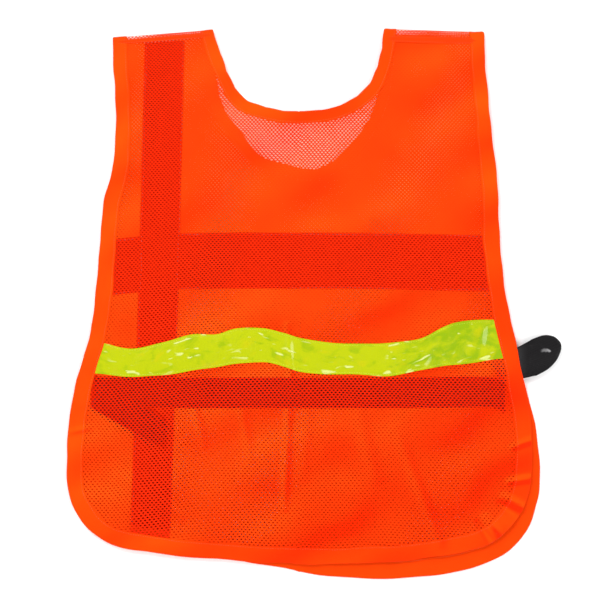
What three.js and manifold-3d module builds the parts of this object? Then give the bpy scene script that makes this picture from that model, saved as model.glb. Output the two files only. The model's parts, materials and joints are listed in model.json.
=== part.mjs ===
// High visibility over-the-head vest, lying flat with its back panel on top.
// Millimetres. X runs across the vest, Y towards the collar, Z up from the floor.
// Places are given as [across, down]: from the centreline, and down from the shoulder line.

import * as THREE from 'three';
import { mergeVertices } from 'three/addons/utils/BufferGeometryUtils.js';
import Module from 'manifold-3d';

const wasm = await Module();
wasm.setup();

// ---- Driving dimensions ----------------------------------------------------

const GAP = 0.3; // clearance between neighbouring layers
const CLOTH = 0.8; // net cloth, as thick as its knitted ribs
const LEAF = 0.6; // one leaf of the folded binding
const TAPE = 0.5; // reflective tape
const STRIP = 0.7; // welded PVC strip
const WEBBING = 0.8; // elastic
const THREAD = { width: 0.8, height: 0.4 };

const BINDING_WIDTH = 20;
const NECK_BINDING_WIDTH = 15;
const CHEST_TAPE_WIDTH = 70;
const VERTICAL_TAPE_WIDTH = 50;
const STRIP_WIDTH = 44;
const BELT_WIDTH = 38;
const LOOP_WIDTH = 34;
const SEAM_WIDTH = 9;
const STITCH_INSET = 2; // from the edge of a tape to its row of stitches
const OUTLINE_STEP = 22; // spacing of the points along a cut edge

// Cut edge of each panel, from the left shoulder round the hem to the right shoulder.
const BACK_EDGE = [
  [-234, 12], [-230, 110], [-233, 172], [-246, 222], [-252, 305], [-262, 380],
  [-280, 446], [-290, 510], [-290, 572], [-278, 606], [-256, 633], [-215, 650],
  [-124, 662], [0, 669], [108, 667], [190, 657], [240, 641], [271, 612],
  [287, 572], [289, 510], [279, 440], [263, 365], [251, 290], [247, 205],
  [241, 145], [232, 60], [230, 6],
];
const FRONT_EDGE = [
  [-233, 13], [-229, 110], [-232, 172], [-244, 222], [-250, 305], [-260, 380],
  [-277, 446], [-287, 510], [-287, 568], [-275, 602], [-253, 628], [-213, 645],
  [-124, 658], [-51, 670], [40, 686], [129, 688], [200, 679], [253, 660],
  [283, 630], [297, 590], [300, 545], [295, 500], [280, 440], [264, 365],
  [250, 290], [246, 205], [240, 145], [231, 60], [229, 6],
];

// Edge of each neck opening, from the right shoulder round to the left one.
const BACK_NECK = [
  [105, 2], [101, 32], [91, 64], [70, 87], [38, 101], [0, 104], [-34, 102],
  [-68, 90], [-87, 64], [-100, 32], [-109, 2],
];
const FRONT_NECK = [
  [106, 2], [103, 55], [93, 100], [72, 136], [40, 167], [12, 177], [-20, 170],
  [-52, 157], [-80, 124], [-95, 100], [-105, 66], [-109, 2],
];

// Centrelines of what is sewn on.
const CHEST_TAPE_LINE = [[-270, 303], [-150, 292], [0, 291], [120, 292], [270, 295]];
const VERTICAL_TAPE_LINE = [[-169, 16], [-174, 220], [-179, 400], [-188, 660]];
const STRIP_LINE = [
  [-275, 414], [-209, 418], [-130, 405], [-50, 396], [8, 408], [90, 412], [150, 407],
  [205, 393], [275, 387],
];
const BELT_LINE = [[-256, 455], [0, 456], [240, 455]];
const LEFT_SEAM_LINE = [[-240, 20], [-110, 11]];
const RIGHT_SEAM_LINE = [[110, 14], [240, 17]];

// Shoulder folds: the front panel's cloth turned over at the shoulder.
const FOLD_SPANS = [
  { side: 'left', from: [-211, 11], to: [-128, 4] },
  { side: 'right', from: [126, 2], to: [207, 2] },
];

// Elastic loops: where each leaves the side seam, its heading, and how it lies.
// A route point is [along, up].
const LOOPS = [
  {
    side: 'right',
    root: [243, 427],
    heading: 21,
    route: [
      [0, 4.1], [20, 4.1], [38, 4.1], [52, 2.6], [66, 1.9], [78, 4], [82, 7.6], [78, 11.2],
      [66, 12.4], [52, 10.4], [38, 8], [20, 8], [0, 8],
    ],
    frontTackHeight: 2.7,
  },
  {
    side: 'left',
    root: [-250, 459],
    heading: -39,
    route: [
      [0, 6.3], [36, 6.3], [72, 6.2], [83, 5.5], [89, 5.6], [92, 7.1], [89, 8.6], [83, 8.7],
      [72, 8.1], [36, 8], [0, 8],
    ],
    frontTackHeight: 5.2,
  },
];
const LOOP_STEPS = 4; // points between two places of a route
const BACK_TACK_HEIGHT = 8.7;
const TACK = { length: 5, width: 26, height: 0.5 };

// Heights of the layers, from the floor up.
const FRONT_CLOTH_Z = 1.6;
const BACK_CLOTH_Z = 9.6;
const CHEST_TAPE_Z = 0.8;
const CHEST_STITCH_Z = FRONT_CLOTH_Z + CLOTH + GAP;
const VERTICAL_STITCH_Z = CHEST_STITCH_Z + THREAD.height + GAP;
const BELT_Z = VERTICAL_STITCH_Z + THREAD.height + GAP;
const TRIM_Z = BACK_CLOTH_Z + CLOTH + GAP; // what is sewn on top of the back panel
const BINDING_TOP_Z = TRIM_Z + LEAF;

// ---- Finishes ---------------------------------------------------------------

function finish(color, roughness, metalness = 0) {
  return () => new THREE.MeshStandardMaterial({ color, roughness, metalness });
}

const FINISH = {
  net: finish(0xfc4b16, 0.75),
  binding: finish(0xfe4d03, 0.7),
  thread: finish(0xf04408, 0.6),
  silver: finish(0xb9bcbd, 0.4),
  greyThread: finish(0x8f9294, 0.6),
  lime: finish(0xcddd10, 0.25),
  limeThread: finish(0xb4c41a, 0.55),
  elastic: finish(0x2c292b, 0.85),
  blackThread: finish(0x1c1a1c, 0.7),
};

// ---- Lines and outlines -----------------------------------------------------

// A list of [across, down] places as points in the XY plane.
function placed(places) {
  return places.map(([across, down]) => new THREE.Vector2(across, -down));
}

// A smooth line through the places, with points at even steps.
function smooth(points, step = OUTLINE_STEP) {
  const curve = new THREE.SplineCurve(points);
  return curve.getSpacedPoints(Math.max(2, Math.round(curve.getLength() / step)));
}

// The same line moved to its left by a distance.
function shifted(line, distance) {
  return line.map((point, i) => {
    const before = line[Math.max(0, i - 1)];
    const after = line[Math.min(line.length - 1, i + 1)];
    const along = after.clone().sub(before).normalize();
    return new THREE.Vector2(point.x - along.y * distance, point.y + along.x * distance);
  });
}

// The closed outline between two shifts of a line.
function band(line, from, to) {
  return [...shifted(line, from), ...shifted(line, to).reverse()];
}

// A panel's outline, drawn in from its cut edges; over runs it past the shoulders.
function panelOutline(panel, inset, over = 0) {
  const edge = shifted(panel.edge, inset);
  const neck = shifted(panel.neck, inset);
  const raised = (point) => new THREE.Vector2(point.x, point.y + over);
  const shoulders = over > 0;
  return [
    ...(shoulders ? [raised(edge[0])] : []),
    ...edge,
    ...(shoulders ? [raised(edge.at(-1)), raised(neck[0])] : []),
    ...neck,
    ...(shoulders ? [raised(neck.at(-1))] : []),
  ];
}

// ---- Solids -----------------------------------------------------------------

// A flat layer of the outline, from one height up to another.
function layer(outline, bottom, height) {
  const solid = new THREE.ExtrudeGeometry(new THREE.Shape(outline), {
    depth: height,
    bevelEnabled: false,
    curveSegments: 1,
  });
  return solid.translate(0, 0, bottom);
}

function toManifold(geometry) {
  const bare = geometry.clone();
  bare.deleteAttribute('normal');
  bare.deleteAttribute('uv');
  const merged = mergeVertices(bare, 1e-4);
  return new wasm.Manifold(new wasm.Mesh({
    numProp: 3,
    vertProperties: new Float32Array(merged.attributes.position.array),
    triVerts: new Uint32Array(merged.index.array),
  }));
}

function fromManifold(manifold) {
  const mesh = manifold.getMesh();
  const indexed = new THREE.BufferGeometry();
  indexed.setAttribute('position', new THREE.BufferAttribute(mesh.vertProperties, 3));
  indexed.setIndex(new THREE.BufferAttribute(mesh.triVerts, 1));
  const geometry = indexed.toNonIndexed();
  geometry.computeVertexNormals();
  return geometry;
}

function cut(geometry, tool) {
  return fromManifold(toManifold(geometry).subtract(toManifold(tool)));
}

// What of a layer lies inside a panel's bindings.
function insideBindings(outline, panel, bottom, height) {
  const inside = panelOutline(panel, BINDING_WIDTH + GAP);
  const room = layer(inside, bottom - 1, height + 2);
  return fromManifold(toManifold(layer(outline, bottom, height)).intersect(toManifold(room)));
}

function piece(name, geometry, makeFinish) {
  const mesh = new THREE.Mesh(geometry, makeFinish());
  mesh.name = name;
  return mesh;
}

// ---- Panels and their bindings ----------------------------------------------

function makePanel(side, edge, neck, clothHeight) {
  return { side, edge: smooth(placed(edge)), neck: smooth(placed(neck), 14), clothHeight };
}

function netCloth(panel) {
  const outline = panelOutline(panel, LEAF + GAP);
  return piece(`${panel.side}_panel_mesh`, layer(outline, panel.clothHeight, CLOTH), FINISH.net);
}

// A tape folded over a cut edge: a band with a slot that takes the cloth.
function binding(panel, line, width, name) {
  const slotBottom = panel.clothHeight - GAP;
  const slotHeight = CLOTH + 2 * GAP;
  const folded = layer(band(line, 0, width), slotBottom - LEAF, slotHeight + 2 * LEAF);
  const slot = layer(panelOutline(panel, LEAF, 30), slotBottom, slotHeight);
  return piece(name, cut(folded, slot), FINISH.binding);
}

function stitchRow(name, line, offset, bottom, makeFinish = FINISH.thread) {
  const half = THREAD.width / 2;
  const outline = band(line, offset - half, offset + half);
  return piece(name, layer(outline, bottom, THREAD.height), makeFinish);
}

// The edge and neck bindings of a panel, each with its row of stitches.
function boundPanel(panel, stitchHeight) {
  const edgeRow = BINDING_WIDTH - STITCH_INSET;
  const neckRow = NECK_BINDING_WIDTH - STITCH_INSET;
  return [
    netCloth(panel),
    binding(panel, panel.edge, BINDING_WIDTH, `${panel.side}_edge_binding`),
    binding(panel, panel.neck, NECK_BINDING_WIDTH, `${panel.side}_neck_binding`),
    stitchRow(`${panel.side}_edge_binding_stitch`, panel.edge, edgeRow, stitchHeight),
    stitchRow(`${panel.side}_neck_binding_stitch`, panel.neck, neckRow, stitchHeight),
  ];
}

// ---- What is sewn to the panels ---------------------------------------------

// A tape clipped inside the bindings, with a row of stitches along both edges.
function sewnTape(name, spec) {
  const line = smooth(placed(spec.places), 30);
  const half = spec.width / 2;
  const tape = insideBindings(band(line, -half, half), spec.panel, spec.bottom, spec.height);
  const rows = [['a', half - STITCH_INSET], ['b', STITCH_INSET - half]].map(([tag, offset]) => {
    const outline = band(line, offset - THREAD.width / 2, offset + THREAD.width / 2);
    const row = insideBindings(outline, spec.panel, spec.stitchHeight, THREAD.height);
    return piece(`${name}_stitch_${tag}`, row, spec.stitchFinish);
  });
  return [piece(name, tape, spec.finish), ...rows];
}

function reflectiveTapes(front) {
  const shared = { panel: front, height: TAPE, finish: FINISH.silver, stitchFinish: FINISH.greyThread };
  return [
    ...sewnTape('chest_tape', {
      ...shared,
      places: CHEST_TAPE_LINE,
      width: CHEST_TAPE_WIDTH,
      bottom: CHEST_TAPE_Z,
      stitchHeight: CHEST_STITCH_Z,
    }),
    ...sewnTape('vertical_tape', {
      ...shared,
      places: VERTICAL_TAPE_LINE,
      width: VERTICAL_TAPE_WIDTH,
      bottom: 0,
      stitchHeight: VERTICAL_STITCH_Z,
    }),
  ];
}

function limeStrip(back) {
  return sewnTape('lime_strip', {
    panel: back,
    places: STRIP_LINE,
    width: STRIP_WIDTH,
    bottom: TRIM_Z,
    height: STRIP,
    finish: FINISH.lime,
    stitchHeight: TRIM_Z + STRIP + GAP,
    stitchFinish: FINISH.limeThread,
  });
}

// ---- Shoulders --------------------------------------------------------------

function shoulderSeam(side, places, back) {
  const line = placed(places);
  const half = SEAM_WIDTH / 2;
  const clearOfNeck = layer(band(back.neck, -60, NECK_BINDING_WIDTH + GAP), 0, 30);
  const strip = insideBindings(band(line, -half, half), back, TRIM_Z, LEAF);
  const rowHeight = TRIM_Z + LEAF + GAP;
  const row = insideBindings(band(line, -THREAD.width / 2, THREAD.width / 2), back, rowHeight, THREAD.height);
  return [
    piece(`${side}_shoulder_seam`, cut(strip, clearOfNeck), FINISH.binding),
    piece(`${side}_shoulder_seam_stitch`, cut(row, clearOfNeck), FINISH.thread),
  ];
}

// Half a tube round the fold line, open towards the vest.
function shoulderFold({ side, from, to }) {
  const centre = (FRONT_CLOTH_Z + BACK_CLOTH_Z + CLOTH) / 2;
  const outer = BACK_CLOTH_Z - GAP - centre;
  const shape = new THREE.Shape();
  shape.absarc(0, 0, outer, -Math.PI / 2, Math.PI / 2, false);
  shape.absarc(0, 0, outer - CLOTH, Math.PI / 2, -Math.PI / 2, true);
  const [start, end] = placed([from, to]);
  const along = end.clone().sub(start);
  const tube = new THREE.ExtrudeGeometry(shape, {
    depth: along.length(),
    bevelEnabled: false,
    curveSegments: 10,
  });
  const run = new THREE.Vector3(along.x, along.y, 0).normalize();
  const outward = new THREE.Vector3(-run.y, run.x, 0);
  const up = new THREE.Vector3(0, 0, 1);
  const frame = new THREE.Matrix4().makeBasis(outward, up, run.clone());
  frame.setPosition(start.x, start.y, centre);
  return piece(`${side}_shoulder_fold`, tube.applyMatrix4(frame), FINISH.net);
}

// ---- Elastic ----------------------------------------------------------------

function elasticBelt() {
  const line = placed(BELT_LINE);
  const outline = band(line, -BELT_WIDTH / 2, BELT_WIDTH / 2);
  return piece('elastic_belt', layer(outline, BELT_Z, WEBBING), FINISH.elastic);
}

// The frame at a loop's root: X along its heading, Y up, Z across its width.
function loopFrame({ root, heading }) {
  const angle = THREE.MathUtils.degToRad(heading);
  const along = new THREE.Vector3(Math.cos(angle), Math.sin(angle), 0);
  const up = new THREE.Vector3(0, 0, 1);
  const across = new THREE.Vector3().crossVectors(along, up);
  const frame = new THREE.Matrix4().makeBasis(along, up, across);
  return frame.setPosition(root[0], -root[1], 0);
}

function elasticLoop(loop) {
  const curve = new THREE.SplineCurve(loop.route.map(([along, up]) => new THREE.Vector2(along, up)));
  const route = curve.getPoints(LOOP_STEPS * (loop.route.length - 1));
  const shape = new THREE.Shape(band(route, -WEBBING / 2, WEBBING / 2));
  const strap = new THREE.ExtrudeGeometry(shape, { depth: LOOP_WIDTH, bevelEnabled: false });
  strap.translate(0, 0, -LOOP_WIDTH / 2);
  return piece(`${loop.side}_elastic_loop`, strap.applyMatrix4(loopFrame(loop)), FINISH.elastic);
}

// A bar of close stitches that holds one end of a loop to a panel.
function tack(loop, end, height) {
  const bar = new THREE.BoxGeometry(TACK.length, TACK.height, TACK.width);
  bar.translate(TACK.length / 2 + 1, height + TACK.height / 2, 0);
  return piece(`${loop.side}_loop_${end}_tack`, bar.applyMatrix4(loopFrame(loop)), FINISH.blackThread);
}

function elasticLoops() {
  return LOOPS.flatMap((loop) => [
    elasticLoop(loop),
    tack(loop, 'front', loop.frontTackHeight),
    tack(loop, 'back', BACK_TACK_HEIGHT),
  ]);
}

// ---- The vest ---------------------------------------------------------------

function buildVest() {
  const front = makePanel('front', FRONT_EDGE, FRONT_NECK, FRONT_CLOTH_Z);
  const back = makePanel('back', BACK_EDGE, BACK_NECK, BACK_CLOTH_Z);
  const vest = new THREE.Group();
  vest.add(
    ...boundPanel(front, 0),
    ...reflectiveTapes(front),
    ...FOLD_SPANS.map(shoulderFold),
    elasticBelt(),
    ...elasticLoops(),
    ...boundPanel(back, BINDING_TOP_Z + 2 * GAP),
    ...limeStrip(back),
    ...shoulderSeam('left', LEFT_SEAM_LINE, back),
    ...shoulderSeam('right', RIGHT_SEAM_LINE, back),
  );

  // The origin is the centre of the underside of the vest's box.
  const box = new THREE.Box3().setFromObject(vest, true);
  const centre = box.getCenter(new THREE.Vector3());
  vest.position.set(-centre.x, -centre.y, -box.min.z);
  return vest;
}

export default buildVest();
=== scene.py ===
"""Looks of a high visibility mesh vest that lies flat, folded over at its shoulders.

Every piece is cut in one pattern plane: the vest opened out, with "across" from side to side and
"reach" measured over the cloth from the shoulder fold, positive down the front and negative down
the back. One drape folds that plane over the shoulders and lays it on the floor. Lengths are in
metres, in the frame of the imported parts.
"""

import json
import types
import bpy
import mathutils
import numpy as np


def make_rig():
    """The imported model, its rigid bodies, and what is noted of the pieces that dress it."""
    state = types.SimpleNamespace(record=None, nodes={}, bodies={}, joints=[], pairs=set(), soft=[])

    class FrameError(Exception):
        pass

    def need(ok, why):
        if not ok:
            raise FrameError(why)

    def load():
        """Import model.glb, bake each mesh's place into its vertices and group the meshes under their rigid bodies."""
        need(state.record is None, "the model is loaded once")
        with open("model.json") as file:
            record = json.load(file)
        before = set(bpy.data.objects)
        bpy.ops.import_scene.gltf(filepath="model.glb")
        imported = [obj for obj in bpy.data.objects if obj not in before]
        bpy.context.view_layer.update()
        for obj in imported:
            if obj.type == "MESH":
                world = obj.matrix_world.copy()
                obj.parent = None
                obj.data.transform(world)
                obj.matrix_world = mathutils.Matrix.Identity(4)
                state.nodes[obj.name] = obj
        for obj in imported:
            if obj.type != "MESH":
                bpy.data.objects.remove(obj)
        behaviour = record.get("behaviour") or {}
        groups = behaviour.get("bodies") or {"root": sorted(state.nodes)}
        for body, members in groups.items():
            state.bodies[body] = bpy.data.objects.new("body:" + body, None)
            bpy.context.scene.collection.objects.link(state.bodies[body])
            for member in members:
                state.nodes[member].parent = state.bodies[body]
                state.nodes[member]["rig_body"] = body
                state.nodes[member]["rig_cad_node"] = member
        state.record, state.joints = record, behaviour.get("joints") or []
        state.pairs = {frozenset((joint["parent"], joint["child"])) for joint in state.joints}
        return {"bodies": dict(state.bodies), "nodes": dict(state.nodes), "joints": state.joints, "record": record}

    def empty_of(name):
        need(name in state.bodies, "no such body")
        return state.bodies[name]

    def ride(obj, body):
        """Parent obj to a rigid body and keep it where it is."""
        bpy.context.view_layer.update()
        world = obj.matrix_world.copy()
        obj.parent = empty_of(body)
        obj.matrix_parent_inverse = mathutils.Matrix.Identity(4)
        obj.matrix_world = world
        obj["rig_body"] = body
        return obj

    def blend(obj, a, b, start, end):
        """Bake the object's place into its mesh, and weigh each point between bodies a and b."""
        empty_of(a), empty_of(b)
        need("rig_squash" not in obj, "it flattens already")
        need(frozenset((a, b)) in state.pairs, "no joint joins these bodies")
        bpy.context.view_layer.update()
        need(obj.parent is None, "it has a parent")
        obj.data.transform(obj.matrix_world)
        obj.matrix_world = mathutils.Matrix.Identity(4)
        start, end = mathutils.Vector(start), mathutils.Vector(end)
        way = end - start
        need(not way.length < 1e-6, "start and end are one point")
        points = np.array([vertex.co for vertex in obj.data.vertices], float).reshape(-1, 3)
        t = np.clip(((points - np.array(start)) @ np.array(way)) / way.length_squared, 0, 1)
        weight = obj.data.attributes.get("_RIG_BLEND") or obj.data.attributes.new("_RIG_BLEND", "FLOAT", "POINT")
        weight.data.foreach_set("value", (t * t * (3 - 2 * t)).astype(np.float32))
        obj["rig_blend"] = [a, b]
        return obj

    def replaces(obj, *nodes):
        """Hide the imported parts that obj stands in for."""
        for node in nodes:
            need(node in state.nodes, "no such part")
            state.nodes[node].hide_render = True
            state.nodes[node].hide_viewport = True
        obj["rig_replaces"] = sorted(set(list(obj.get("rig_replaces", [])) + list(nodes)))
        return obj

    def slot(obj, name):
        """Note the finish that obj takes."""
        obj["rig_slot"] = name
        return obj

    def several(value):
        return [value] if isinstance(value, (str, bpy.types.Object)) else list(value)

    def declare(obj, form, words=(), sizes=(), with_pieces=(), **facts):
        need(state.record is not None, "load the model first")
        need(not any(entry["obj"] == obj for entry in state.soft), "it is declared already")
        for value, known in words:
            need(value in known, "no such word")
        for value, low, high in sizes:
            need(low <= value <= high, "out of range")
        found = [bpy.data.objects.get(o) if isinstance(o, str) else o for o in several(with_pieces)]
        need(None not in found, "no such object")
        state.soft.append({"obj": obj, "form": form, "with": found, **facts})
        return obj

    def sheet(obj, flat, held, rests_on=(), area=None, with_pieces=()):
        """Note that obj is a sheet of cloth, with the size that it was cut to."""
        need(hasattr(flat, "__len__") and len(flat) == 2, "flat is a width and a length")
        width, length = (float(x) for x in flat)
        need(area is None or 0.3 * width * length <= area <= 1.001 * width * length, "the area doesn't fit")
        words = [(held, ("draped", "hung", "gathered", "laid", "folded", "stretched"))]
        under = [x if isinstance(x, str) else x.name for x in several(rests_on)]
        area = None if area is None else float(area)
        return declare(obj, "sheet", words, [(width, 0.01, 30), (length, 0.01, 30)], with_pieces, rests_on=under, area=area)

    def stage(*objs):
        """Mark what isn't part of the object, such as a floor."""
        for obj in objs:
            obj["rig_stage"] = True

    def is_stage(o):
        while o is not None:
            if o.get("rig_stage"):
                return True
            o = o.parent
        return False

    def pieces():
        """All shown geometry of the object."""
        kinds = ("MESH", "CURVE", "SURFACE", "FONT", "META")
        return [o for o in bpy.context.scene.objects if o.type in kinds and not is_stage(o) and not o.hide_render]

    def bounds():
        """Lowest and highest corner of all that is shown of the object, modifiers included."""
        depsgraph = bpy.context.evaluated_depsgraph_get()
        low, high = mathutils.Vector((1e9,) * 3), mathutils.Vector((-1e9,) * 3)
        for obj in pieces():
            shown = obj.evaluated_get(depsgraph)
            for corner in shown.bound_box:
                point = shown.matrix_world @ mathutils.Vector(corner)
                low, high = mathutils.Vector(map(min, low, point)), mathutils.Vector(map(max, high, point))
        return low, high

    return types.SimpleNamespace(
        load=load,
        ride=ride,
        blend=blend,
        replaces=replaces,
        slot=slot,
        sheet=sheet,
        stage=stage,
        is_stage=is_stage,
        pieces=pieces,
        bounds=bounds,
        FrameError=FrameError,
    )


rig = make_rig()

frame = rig.load()
CAD_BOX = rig.bounds()

import json
import logging
import math
from collections.abc import Callable
from dataclasses import dataclass, field, replace
from enum import Enum

import bpy
import numpy as np
from mathutils import Vector, kdtree

log = logging.getLogger("vest")
MM = 0.001
FRONT = "front_panel"
BACK = "back_panel"

# Numbers that pieces carry from point to point, for their finishes to read
# Painted shade on net strands that have a tape or the black elastic behind them, where no light comes through from
# below
UNLIT = "backed"
# Painted light on the back's folds, lighter or darker by slope, and darker towards the lower right
FOLD_LIGHT_AND_FALL = "tone"
# Painted highlight on the right loop's crease, and a lighter patch near that loop's root
GLINT = "glint"

# Heights between which the pieces of both panels go over from the front to the back
BLEND_START = 3.5 * MM
BLEND_END = 5.0 * MM

# Where the left shoulder mount lies: out from the centreline and below the shoulder line
MOUNT_ACROSS = 170 * MM
MOUNT_DOWN = 4 * MM


class Panel(Enum):
    """Which panel of the vest a point is given on."""

    FRONT = 1
    BACK = -1


# ---------------------------------------------------------------------------------------------
# The cut of the vest, in millimetres: across from the centreline, down from the shoulder line
# ---------------------------------------------------------------------------------------------


@dataclass(frozen=True)
class Cut:
    """Outlines of the two panels and the lines that their bands are sewn on.

    A band is the line of painted shade that a tape, or the black elastic, lays on the nets, and runs on past the
    tape's cut ends.
    """

    back_edge: tuple = (
        (-234, 12), (-230, 110), (-233, 172), (-246, 222), (-252, 305), (-262, 380), (-280, 446),
        (-290, 510), (-290, 572), (-278, 606), (-256, 633), (-215, 650), (-124, 662), (0, 669),
        (108, 667), (190, 657), (240, 641), (271, 612), (287, 572), (289, 510), (279, 440),
        (263, 365), (251, 290), (247, 205), (241, 145), (232, 60), (230, 6),
    )
    front_edge: tuple = (
        (-233, 13), (-229, 110), (-232, 172), (-244, 222), (-250, 305), (-260, 380), (-277, 446),
        (-287, 510), (-287, 568), (-275, 602), (-253, 628), (-213, 645), (-124, 658), (-51, 670),
        (40, 686), (129, 688), (200, 679), (253, 660), (283, 630), (297, 590), (300, 545),
        (295, 500), (280, 440), (264, 365), (250, 290), (246, 205), (240, 145), (231, 60), (229, 6),
    )
    back_neck: tuple = (
        (105, 2), (101, 32), (91, 64), (70, 87), (38, 101), (0, 104), (-34, 102), (-68, 90),
        (-87, 64), (-100, 32), (-109, 2),
    )
    front_neck: tuple = (
        (106, 2), (103, 55), (93, 100), (72, 136), (40, 167), (12, 177), (-20, 170), (-52, 157),
        (-80, 124), (-95, 100), (-105, 66), (-109, 2),
    )
    chest_band: tuple = ((-270, 303), (-150, 292), (0, 291), (120, 292), (270, 295))
    chest_tape: tuple = ((-240, 300), (-150, 292), (0, 291), (120, 292), (243, 294))
    vertical_band: tuple = ((-169, 16), (-174, 220), (-179, 400), (-188, 660))
    vertical_tape: tuple = ((-169, 17), (-174, 220), (-179, 400), (-187, 640))
    strip_top: tuple = (
        (-275, 394), (-248, 394), (-210, 400), (-174, 394), (-135, 383), (-104, 382), (-80, 376),
        (-45, 375), (-20, 381), (0, 388), (29, 392), (84, 395), (116, 393), (149, 388),
        (178, 374), (200, 367), (245, 364), (275, 362),
    )
    strip_bottom: tuple = (
        (-275, 432), (-248, 432), (-210, 436), (-174, 434), (-135, 428), (-104, 424), (-80, 420),
        (-45, 417), (-20, 424), (0, 430), (29, 432), (84, 434), (116, 434), (149, 428),
        (178, 423), (200, 420), (245, 414), (275, 411),
    )
    belt: tuple = ((-256, 455), (-128, 456), (0, 456), (128, 456), (232, 455), (256, 462))
    left_strap: tuple = ((-262, 452), (-216, 478), (-166, 507))
    left_seam: tuple = ((-240, 18.7), (-110, 9))
    right_seam: tuple = ((110, 13.6), (240, 17))
    left_seam_band: tuple = ((-226, 17.7), (-113, 9.2))
    right_seam_band: tuple = ((112, 13.6), (222, 16.4))
    right_loop_root: tuple = ((238, 418), (252, 444))
    right_loop_tip: tuple = (
        (291.5, 388.5), (304, 384.3), (316, 385.6), (324, 392), (325.8, 400), (323.3, 408.5),
        (318.8, 416.5), (312.3, 423.6), (305, 428.8), (295, 434),
    )
    left_loop_root: tuple = ((-238, 440), (-262, 478))
    left_loop_tip: tuple = ((-176, 486), (-166, 494), (-164, 504), (-172, 516), (-186, 524))
    right_tack: tuple = ((240, 415), (253, 441))
    left_tack: tuple = ((-245, 445), (-262, 476))


def spline(points: tuple, samples: int = 12) -> np.ndarray:
    """Runs a smooth curve through given points.

    Args:
        points: Pairs of millimetres that the curve passes through.
        samples: Steps between two neighbouring points.

    Returns:
        The curve as an n by 2 array of metres.
    """
    p = np.array(points, float) * MM
    if len(p) == 2:
        t = np.linspace(0, 1, samples * 4)[:, None]
        return p[0] * (1 - t) + p[1] * t
    padded = np.vstack([p[0], p, p[-1]])
    t = (np.arange(samples) / samples)[:, None]
    runs = []
    for a, b, c, d in zip(padded, padded[1:], padded[2:], padded[3:]):
        v0 = (c - a) / 2
        v1 = (d - b) / 2
        runs.append((2 * b - 2 * c + v0 + v1) * t**3 + (3 * c - 3 * b - 2 * v0 - v1) * t**2 + v0 * t + b)
    runs.append(p[-1:])
    return np.vstack(runs)


def run_along(line: np.ndarray) -> np.ndarray:
    """Measures a line.

    Args:
        line: Points of the line, n by 2 or 3.

    Returns:
        How far along the line each of its points lies.
    """
    steps = np.linalg.norm(np.diff(line, axis=0), axis=1)
    return np.concatenate([[0.0], np.cumsum(steps)])


def evenly(line: np.ndarray, step: float, closed: bool = False) -> np.ndarray:
    """Places points at even distances along a line.

    Args:
        line: Points of the line, n by 2.
        step: Wanted distance between neighbours, in metres.
        closed: Whether the last point joins the first.

    Returns:
        The evenly spaced points. A closed line doesn't repeat its first point.
    """
    if closed:
        line = np.vstack([line, line[:1]])
    gone = run_along(line)
    count = max(2, int(round(gone[-1] / step)))
    marks = np.linspace(0, gone[-1], count if closed else count + 1, endpoint=not closed)
    return np.stack([np.interp(marks, gone, line[:, k]) for k in (0, 1)], axis=1)


def smoothstep(value: np.ndarray, low: float, high: float) -> np.ndarray:
    """Eases a value between two limits.

    Args:
        value: The value, one number or many.
        low: Where the outcome starts to rise from 0.
        high: Where it reaches 1.

    Returns:
        Numbers from 0 to 1.
    """
    t = np.clip((value - low) / (high - low), 0.0, 1.0)
    return t * t * (3 - 2 * t)


@dataclass
class Path:
    """A line in the pattern plane with the direction that its band grows in."""

    points: np.ndarray
    closed: bool = False
    inward: np.ndarray = field(init=False)
    along: np.ndarray = field(init=False)
    length: float = field(init=False)

    def __post_init__(self) -> None:
        """Works out the left-hand normals and the distance along the line."""
        p = self.points
        if self.closed:
            heading = np.roll(p, -1, axis=0) - np.roll(p, 1, axis=0)
        else:
            heading = np.gradient(p, axis=0)
        heading = heading / np.linalg.norm(heading, axis=1)[:, None]
        self.inward = np.stack([-heading[:, 1], heading[:, 0]], axis=1)
        self.along = run_along(p)
        self.length = float(self.along[-1])
        if self.closed:
            self.length += float(np.linalg.norm(p[0] - p[-1]))

    def beside(self, offset: float, step: float) -> "Path":
        """Returns an evenly spaced path that runs at an offset to the left of this one."""
        return Path(evenly(self.points + self.inward * offset, step, self.closed), self.closed)

    def locate(self, spots: np.ndarray) -> tuple:
        """Finds how spots lie to the line.

        Args:
            spots: Points of the pattern plane, n by 2.

        Returns:
            How far each lies to the left of the line, and how far along it.
        """
        tree = kdtree.KDTree(len(self.points))
        for i, p in enumerate(self.points):
            tree.insert((p[0], p[1], 0.0), i)
        tree.balance()
        near = np.array([tree.find((x, y, 0.0))[1] for x, y in spots], int)
        gap = spots - self.points[near]
        left = self.inward[near]
        depth = (gap * left).sum(1)
        along = self.along[near] + gap[:, 0] * left[:, 1] - gap[:, 1] * left[:, 0]
        return depth, along


# ---------------------------------------------------------------------------------------------
# The drape
# ---------------------------------------------------------------------------------------------


@dataclass(frozen=True)
class Ridge:
    """A soft fold or hollow that runs between two places on the back, in millimetres."""

    start: tuple
    end: tuple
    height: float
    width: float

    def rise(self, across: np.ndarray, down: np.ndarray) -> np.ndarray:
        """Works out the height that this ridge adds.

        Args:
            across: Distances from the centreline, in metres.
            down: Distances below the shoulder line, in metres.

        Returns:
            Heights in metres.
        """
        a = np.array(self.start, float) * MM
        b = np.array(self.end, float) * MM
        d = b - a
        t = np.clip(((across - a[0]) * d[0] + (down - a[1]) * d[1]) / float(d @ d), 0, 1)
        away = np.hypot(across - a[0] - t * d[0], down - a[1] - t * d[1])
        taper = np.sin(np.pi * (0.12 + 0.76 * t))
        return self.height * MM * taper * np.exp(-((away / (self.width * MM)) ** 2))


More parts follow.
